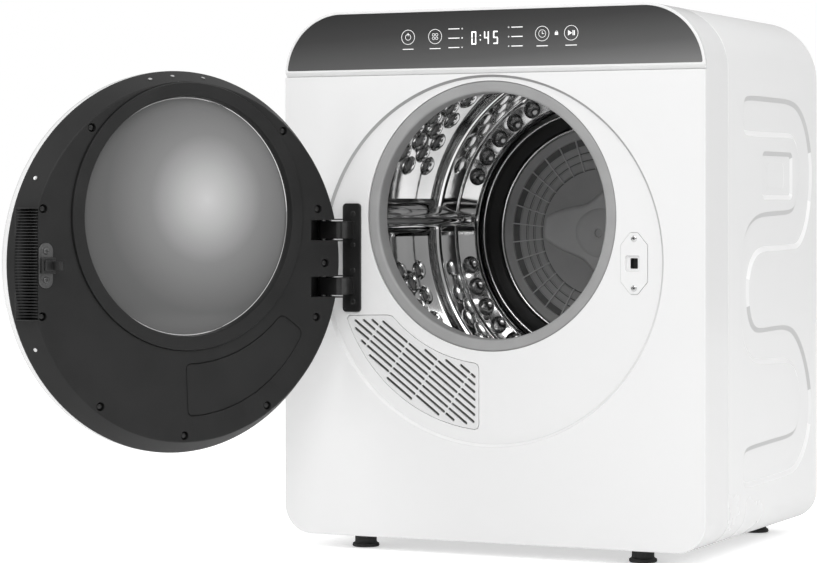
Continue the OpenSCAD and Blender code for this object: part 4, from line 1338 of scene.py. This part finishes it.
def grip():
    """Ribbed finger grip let into the free edge of the door."""
    s = Shape()
    u0, n0 = DOOR_R - 22.5, 9.0
    block(s, u0 - 1.2, u0, n0 - 1, FLAT_N - 0.3, -57, 57)
    block(s, u0 - 1.2, DOOR_R - 5.5, n0 - 1.2, n0, -57, 57)
    for z in (-57, 56):
        wedge = [(u0, n0 - 1), (DOOR_R - 5.4, n0 - 1), (FLAT_R + 0.2, FLAT_N - 1.2),
                 (FLAT_R - 1.2, FLAT_N - 0.2),
                 (u0, FLAT_N - 0.2)]
        prism_z(s, wedge, z, z + 1, 0.05)
    obj = s.build("grip_recess", DOOR, [MAT["black"]], 30, "door")
    rib = Shape()
    curve = [(-2, 0), (17, 0), (12, 1.4), (7, 4.2), (3.2, 8.4), (1.4, 12.5), (0.8, 16), (-2, 16)]
    prism_z(rib, curve, -0.55, 0.55, 0.25)
    t = Tree("grip_ribs", Count=36, Pitch=0.00305)
    line = t.add("GeometryNodeMeshLine", {"Count": "Count"})
    step = t.add("ShaderNodeCombineXYZ", {"Z": "Pitch"})
    t.group.links.new(step.outputs[0], line.inputs["Offset"])
    unit = unit_object(rib, "grip_rib_unit")
    piece = t.add("GeometryNodeObjectInfo", Object=unit)
    copies = t.add("GeometryNodeInstanceOnPoints", {"Points": (line, 0), "Instance": (piece, "Geometry")})
    start = Matrix.Translation(((u0 + 0.4) * MM, (n0 + 0.1) * MM, -0.0534))
    ribs = t.bake((copies, 0), MAT["black"], "door", place=DOOR @ IN_METRES @ start)
    bpy.data.objects.remove(unit)
    stand_for(ribs, "black_plastic", "grip_insert")


def glass_and_ring():
    s = Shape()
    r = PORT_R
    profile = [(r + 7.9, 17.5), (r + 7.9, 27.2), (r + 7.4, 28.2), (r + 6.4, 28.7), (r - 4.9, 28.7),
               (r - 6.0, 28.3), (r - 6.6, 27.4), (r - 7.4, 21.4), (r - 7.4, 20.65), (r - 3.8, 20.6),
               (r - 3.8, 17.5)]
    revolve(s, profile, (0, PORT_UP), 192)
    stand_for(s.build("door_glass_ring", DOOR, [MAT["liner"]], 28, "door"), "liner_grey", "glass_ring")
    g = Shape()
    revolve(g, [(0, 17.5), (r - 4, 17.5), (r - 4, 20.4), (r - 7.2, 20.5), (0, 20.55)], (0, PORT_UP), 160)
    stand_for(g.build("door_glass_pane", DOOR, [MAT["glass"]], 40, "door"), "door_glass", "door_glass")
    # Thin chrome ring at the glass edge, put in to give a bright line there: painted highlight.
    e = Shape()
    revolve(e, [(r - 7.5, 20.5), (r - 7.9, 21.0), (r - 8.5, 21.0), (r - 8.9, 20.5)], (0, PORT_UP), 160)
    e.build("glass_edge", DOOR, [MAT["chrome"]], 40, "door")


def outer_shell():
    s = Shape()
    d = -DOME
    profile = [(0, d), (DOOR_R - 26, d + 0.2), (DOOR_R - 14, d + 1.4), (DOOR_R - 6.5, d + 4.6),
               (DOOR_R - 2.2, d + 8.6), (DOOR_R - 0.5, d + 12), (DOOR_R, -6), (DOOR_R, -0.9),
               (DOOR_R - 0.4, -0.4),
               (DOOR_R - 2.5, -0.4), (DOOR_R - 2.7, -10), (DOOR_R - 8, d + 7.5), (DOOR_R - 18, d + 3.9),
               (0, d + 2.6)]
    revolve(s, profile, (0, 0), 192)
    obj = s.build("door_outer_moulding", DOOR, [MAT["white"]], 30, "door")
    c = Shape()
    revolve(c, [(0, d - 5), (PORT_R + 4, d - 5), (PORT_R + 4, d + 1.3), (0, d + 1.3)], (0, PORT_UP), 160)
    stand_for(carve(obj, c, DOOR), "white_shell", "door_outer_shell")
    w = Shape()
    profile = [(0, d + 0.1), (PORT_R + 2.6, d + 0.1), (PORT_R + 3.4, d + 0.5),
               (PORT_R + 3.6, d + 1.3), (0, d + 1.3)]
    revolve(w, profile, (0, PORT_UP), 160)
    stand_for(w.build("door_window_pane", DOOR, [MAT["panel"]], 40, "door"), "window_tint", "door_window")


def latch():
    u, v = LATCH_AT
    s = Shape()
    eyes = [circle((u, v + k * LATCH_SCREW), 1.9, 20) for k in (-1, 1)]
    plate(s, rect(u - 8, u + 8, v - 23, v + 23, 7.8), eyes, FLAT_N - 0.2, FLAT_N + 1.2, 0, 0.4)
    plate(s, rect(u - 5.6, u + 5.6, v - 20.4, v + 20.4, 5.4), eyes, FLAT_N + 1.0, FLAT_N + 1.7, 0, 0.3)
    stand_for(s.build("latch_plate_stamping", DOOR, [MAT["dull"]], 35, "door"), "steel", "latch_plate")
    head = flipped(screw_shape(3.5, 1.3))
    spots = [(u, FLAT_N + 1.9, v + k * LATCH_SCREW, 0.5 + k) for k in (-1, 1)]
    at_points("latch_screws", head, spots, MAT["dull"], "door", DOOR)
    # Dark crosses on the latch screws: painted shade in their cross recesses.
    cross = flipped(cross_shape(3.5, 1.3))
    at_points("latch_screw_crosses", cross, spots, MAT["dark"], "door", DOOR)
    h = Shape()
    x0, x1 = u - 9.5, u + 6.0
    prism_z(h, rect(x0, x1, FLAT_N + 1.4, FLAT_N + 5.2, 1.2, 3), v - 8.2, v + 8.2, 0.8)
    prism_z(h, rect(x0 + 2.2, x1 - 2.4, FLAT_N + 4, FLAT_N + 8.0, 1.4, 3), v - 5.4, v + 5.4, 0.8)
    hook = [(u - 7.6, FLAT_N + 2), (u - 4.3, FLAT_N + 2), (u - 4.3, 46.6), (u - 5.4, 48), (u - 8.2, 47.6),
            (u - 10, 45.4), (u - 9.6, 43.2), (u - 7.6, 42.8)]
    prism_z(h, hook, v - 4.4, v + 4.4, 0.5)
    stand_for(h.build("latch_hook_moulding", DOOR, [MAT["black"]], 32, "door"), "black_plastic", "latch_hook")


def hinge_bracket():
    x1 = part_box("hinge_bracket")[1].x / MM
    x0 = x1 - BRACKET_W
    z = DOOR_Z + 2
    s = Shape()
    plate(s, rect(x0, x1, z - 59.5, z + 59.5, 4.2), [], RECESS_T - 2.5, RECESS_T, 0.8)
    knuckle = [(6 * cos(radians(a)), 6 * sin(radians(a))) for a in range(-5, 266, 15)]
    bend = [(23, -0.5)] + [(18 + 5 * cos(radians(a)), -0.5 + 5 * sin(radians(a)))
                           for a in range(-15, -91, -15)]
    loop = knuckle + [(6, -5.5)] + bend[::-1] + [(23, 25.9), (18, 25.9), (18, 1.2), (16.2, -0.5)]
    loop = [(HINGE_X + x, y - RIM_GAP) for x, y in loop]
    for dz in ARM_Z:
        c = DOOR_Z + dz
        prism_z(s, loop, c - 9.5, c + 9.5, 0.7)
        foot = [(HINGE_X + 15.5, RECESS_T - 3.4), (HINGE_X + 25.5, RECESS_T - 3.4),
                (HINGE_X + 25.5, RECESS_T - 1),
                (HINGE_X + 15.5, RECESS_T - 1)]
        prism_z(s, foot, c - 9.5, c + 9.5, 0.5)
    stand_for(s.build("hinge_bracket_plate", CABINET, [MAT["hinge"]], 30), "hinge_black", "hinge_bracket")


liner()
liner_wells()
rim_screws()
grip()
glass_and_ring()
outer_shell()
latch()
hinge_bracket()


# ---------- drum, rear ring and filter ----------
WALL_R = DRUM_R - 0.8
LIFTER_AT = radians(175)
DIMPLE_R = WALL_R - 42
BORE_R = RING_R + 5.2


def drum_wall():
    """Rolled drum wall, its rounded rear corner and its stepped rear ring."""
    s = Shape()
    r, y1 = WALL_R, DRUM_Y1
    inner = [(r - 1.4, DRUM_Y0 + 0.4), (r, DRUM_Y0 + 2.4), (r, y1 - 14)]
    inner += [(r - 10 + 10 * cos(a), y1 - 13 + 10 * sin(a)) for a in (0.26, 0.52, 0.79, 1.05, 1.31, 1.57)]
    step = [(r - 26, y1 - 2.6), (r - 27.6, y1 - 2.0), (r - 29.2, y1 - 0.4), (r - 30.8, y1)]
    bead = [(BORE_R + 6.4, y1), (BORE_R + 4.6, y1 - 0.8), (BORE_R + 3.4, y1 - 3.2),
            (BORE_R + 1.9, y1 - 4.6),
            (BORE_R + 0.2, y1 - 4.4), (BORE_R - 0.8, y1 - 2.8), (BORE_R - 1.2, y1 + 0.8)]
    back = [(BORE_R, y1 + 1.6), (BORE_R + 6, y1 + 1.4), (r - 30, y1 + 1.4), (r - 25, y1 - 1.0),
            (r - 10, y1 - 1.6), (DRUM_R - 2.6, y1 - 5.6), (DRUM_R, y1 - 13), (DRUM_R, DRUM_Y0 + 0.4)]
    revolve(s, inner + step + bead + back, DRUM, 192)
    stand_for(s.build("drum_wall_rolled", CABINET, [MAT["drum"]], 24, "drum"), "drum_steel",
              "drum_shell", "drum_back")


def drum_bumps():
    columns = 42
    bumps = pebbles("drum_pebbles", MAT["drum"], "drum", rows=9, columns=columns, step=2 * pi / columns,
                    pitch=26, radius=WALL_R + 1.2, size=(16.5, 12.2, 6.2), first_y=54, lifter=LIFTER_AT,
                    clear=radians(13))
    s = Shape()
    y = DRUM_Y1
    profile = [(10.6, y + 0.2), (10.4, y - 0.3), (9.6, y - 1.2), (7.8, y - 2.4), (4.4, y - 3.6),
               (0, y - 4.1), (0, y + 0.2)]
    revolve(s, profile, n=24)
    # The dimples take the darker steel, which is painted shade.
    dimples = ring_of("rear_dimples", s, MAT["dimple"], "drum", DRUM, 39, DIMPLE_R, start=LIFTER_AT,
                      skip=(LIFTER_AT, 2 * pi / 3, radians(12)))


def drum_lifters():
    """Three tapered beaters, each a lofted ridge closed at both ends."""
    s = Shape()
    half = [(-1.5, 26), (0.4, 24), (3, 18.5), (8, 14.5), (18, 11), (30, 9), (39, 7.2), (43.5, 5.2),
            (45.6, 2.6)]
    section = half + [(46, 0)] + [(h, -w) for h, w in reversed(half)]
    stations = [(55, 0.05), (56, 0.3), (60, 0.62), (67, 0.86), (78, 0.98), (92, 1), (290, 1), (300, 0.98),
                (306, 0.9), (309.5, 0.72), (310.8, 0.4)]
    rings = []
    for y, k in stations:
        width = 0.55 + 0.45 * k
        rings.append(s.ring([(WALL_R - max(-1.5, h * k), y, w * width) for h, w in section]))
    s.loft(rings)
    s.face(rings[0])
    s.face(rings[-1][::-1])
    ridges = ring_of("lifter_ridges", s, MAT["drum"], "drum", DRUM, 3, 0, start=LIFTER_AT)
    stand_for(ridges, "drum_steel", "lifters")


def rear_ring():
    """Wide black ring with two bright beads between the drum and the filter."""
    y0, y1 = depths("rear_bearing_ring")
    s = Shape()
    r = RING_R
    profile = [(r - 0.4, y1), (r - 0.4, y0 + 3.4), (r - 1.0, y0 + 1.0), (r - 2.2, y0 + 0.2),
               (r - 4.4, y0 + 0.6),
               (r - 6, y0 + 2.6), (r - 7.4, y0 + 5.4), (FILTER_R + 5.4, y1 - 12), (FILTER_R + 3.8, y1 - 8),
               (FILTER_R + 3.2, y1 - 5), (FILTER_R + 3.2, y1)]
    revolve(s, profile, DRUM, 192)
    stand_for(s.build("rear_ring_moulding", CABINET, [MAT["black"]], 30), "black_plastic",
              "rear_bearing_ring")
    beads = Shape()
    for radius, y, size in ((r - 2.9, y0 - 0.2, 0.9), (FILTER_R + 1.6, y1 - 8, 1.5)):
        revolve(beads, circle((radius, y), size, 12), DRUM, 192)
    collar = [(FILTER_R + 2.9, y1), (FILTER_R + 2.9, y1 - 7.6), (FILTER_R + 0.3, y1 - 7.6),
              (FILTER_R + 0.3, y1)]
    revolve(beads, collar, DRUM, 192)
    stand_for(beads.build("bright_beads", CABINET, [MAT["chrome"]], 40), "steel", "filter_trim")


def filter_plate():
    y = depths("filter_cover")[0]
    r = FILTER_R - 0.2
    rim, hub = r - 11.5, r * 0.6
    s = Shape()
    revolve(s, [(0, y + 2.6), (0, y - 0.2), (hub, y - 0.2), (hub + 0.2, y + 1.2), (rim, y + 1.2),
                (rim + 0.5, y - 0.6),
                (rim + 1.4, y - 1.1), (r - 1, y - 1.1), (r, y - 0.4), (r, y + 2.6)], DRUM, 160)
    for radius, foot, top in [(rim - 8.6, 0.6, 0)] + [(hub + out, 0.5, 0.7) for out in (20, 11, 3)]:
        revolve(s, [(radius - foot, y + 1.4), (radius - 0.5, y - top), (radius + 0.5, y - top),
                    (radius + foot, y + 1.4)], DRUM, 160)
    stand_for(s.build("filter_face", CABINET, [MAT["filter"]], 30), "filter_grey", "filter_cover")
    # Flat dark rings of painted shadow that stand for the gaps between the filter's rings.
    mesh = Shape()
    for r0, r1 in [(rim - 8, rim - 0.3)] + [(hub + out - 0.7, hub + out + 0.7) for out in (0.9, 12.4, 21.4)]:
        revolve(mesh, [(r0, y + 0.9), (r1, y + 0.9), (r1, y + 1.35), (r0, y + 1.35)], DRUM, 160)
    mesh.build("filter_gaps", CABINET, [MAT["gap"]], 30)
    rib = Shape()
    reach = (rim - hub - 1) / 2
    plate(rib, rect(-reach, reach + 1.5, -0.75, 0.75, 0.3), [], y - 1.0, y + 1.5, 0.3)
    ribs = ring_of("filter_ribs", rib, MAT["ribs"], "cabinet", DRUM, 32, (rim + hub) / 2, start=0.1)


def filter_hub():
    """Smooth raised hub: three broad arms round a central boss with its screw hole."""
    y = depths("filter_cover")[0]
    hub = FILTER_R * 0.6
    star = Shape()
    loop = []
    for k in range(3):
        start = radians(55 + 120 * k)
        for t in range(-12, 13, 4):
            loop.append((hub + 1, start + radians(t)))
        for t in range(4, 96, 4):
            dip = sin(pi * t / 96) ** 0.8
            loop.append((hub + 1 - 36 * dip, start + radians(12 + t)))
    loop = oriented([(DRUM[0] + r * cos(t), DRUM[1] + r * sin(t)) for r, t in loop])
    rings = []
    for d, t in ((6.5, 0.8), (4.6, 1.1), (2.8, 2.2), (1.3, 4.4), (0.4, 7.6), (0, 11)):
        pts = []
        for x, z in shifted(loop, d):
            away = min(1, hypot(x - DRUM[0], z - DRUM[1]) / hub)
            pts.append((x, y - 11.5 + t + 9.2 * away ** 1.6, z))
        rings.append(star.ring(pts))
    star.loft(rings)
    star.close_ends(rings)
    star.build("filter_arms", CABINET, [MAT["ribs"]], 40)
    s = Shape()
    revolve(s, [(4.6, y + 1), (4.6, y - 10.4), (5.4, y - 11.4), (8, y - 12.2), (16, y - 12.0),
                (24, y - 10.6),
                (30, y - 7.4), (33, y - 3), (34, y + 1)], DRUM, 96)
    s.build("filter_boss", CABINET, [MAT["ribs"]], 40)
    screw = screw_shape(4.2, 1.4)
    spot = [(DRUM[0], y - 6.5, DRUM[1], 0.4)]
    at_points("filter_screw", screw, spot, MAT["hinge"], "cabinet", CABINET)


drum_wall()
drum_bumps()
drum_lifters()
rear_ring()
filter_plate()
filter_hub()


# ---------- stage, light and camera ----------
LIGHT_AIM = Vector((0, 0, 0.3))
LIGHTS = [  # name, place, size, power
    ("key", (0.9, -2.6, 2.2), (2.0, 1.6), 39),
    ("fill", (-2.6, -1.6, 1.4), (1.6, 2.0), 18),
    ("side", (2.6, 0.2, 1.8), (1.6, 1.6), 14),
]
ROOM_TONES = [(0.3, 0.75), (0.5, 0.5), (0.6, 0.42), (0.72, 0.75), (0.9, 1.0)]
ROOM_STRENGTH = 0.82
SENSOR, LENS, SHIFT_Y = 36, 124.73, -0.0942
CAMERA_TURN = 25.355
CAMERA_X, CAMERA_BACK, CAMERA_Z = 1191.1, 2707.3, 353.8  # for a cabinet FIT_WIDTH wide
FIT_WIDTH = 478.84


def floor():
    bpy.ops.mesh.primitive_plane_add(size=12, location=(0, 0, -0.0005))
    o = bpy.context.object
    o.name = "studio_floor"
    m = material("studio_floor", grey(0.9), 0.7)
    seen = node(m, "LightPath")
    tone = mapped(m, seen, "Is Camera Ray", To_Min=0.12, To_Max=0.45)
    feed(m, tone, "Result", "Emission Strength")
    shader(m).inputs["Emission Color"].default_value = (1, 1, 1, 1)
    o.data.materials.append(m)


def area_light(name, place, size, power):
    data = bpy.data.lights.new(name, "AREA")
    data.shape = "RECTANGLE"
    data.size, data.size_y = size
    data.energy = power
    o = linked(name, data)
    o.location = place
    o.rotation_euler = (LIGHT_AIM - Vector(place)).to_track_quat("-Z", "Y").to_euler()


def surroundings():
    """White backdrop for the camera; a dim room with a bright ceiling for everything else."""
    world = bpy.data.worlds.new("studio")
    world.use_nodes = True
    room, last = (world.node_tree.nodes[key] for key in ("Background", "World Output"))
    parts = node(world, "SeparateXYZ", {0: (node(world, "TexCoord"), "Generated")})
    height = mapped(world, parts, "Z", From_Min=-1)
    tone = ramp(world, height, "Result", greys(*ROOM_TONES))
    world.node_tree.links.new(tone.outputs["Color"], room.inputs["Color"])
    room.inputs["Strength"].default_value = ROOM_STRENGTH
    white = node(world, "Background", Color=(1, 1, 1, 1))
    seen = node(world, "LightPath")
    mix = node(world, "MixShader", {0: (seen, "Is Camera Ray"), 1: (room, 0), 2: (white, 0)})
    world.node_tree.links.new(mix.outputs[0], last.inputs["Surface"])
    return world


def studio():
    floor()
    for light in LIGHTS:
        area_light(*light)
    scene = bpy.context.scene
    scene.world = surroundings()
    scene.view_settings.view_transform = "Standard"


def camera():
    data = bpy.data.cameras.new("camera")
    data.sensor_width, data.lens, data.shift_y = SENSOR, LENS, SHIFT_Y
    data.clip_end = 50
    o = linked("camera", data)
    k = 2 * CAB_HALF / FIT_WIDTH
    o.location = (CAMERA_X * k * MM, FRONT_Y - CAMERA_BACK * k * MM, CAMERA_Z * k * MM + FOOT_Z)
    o.rotation_euler = (pi / 2, 0, radians(CAMERA_TURN))
    bpy.context.scene.camera = o


studio()
camera()
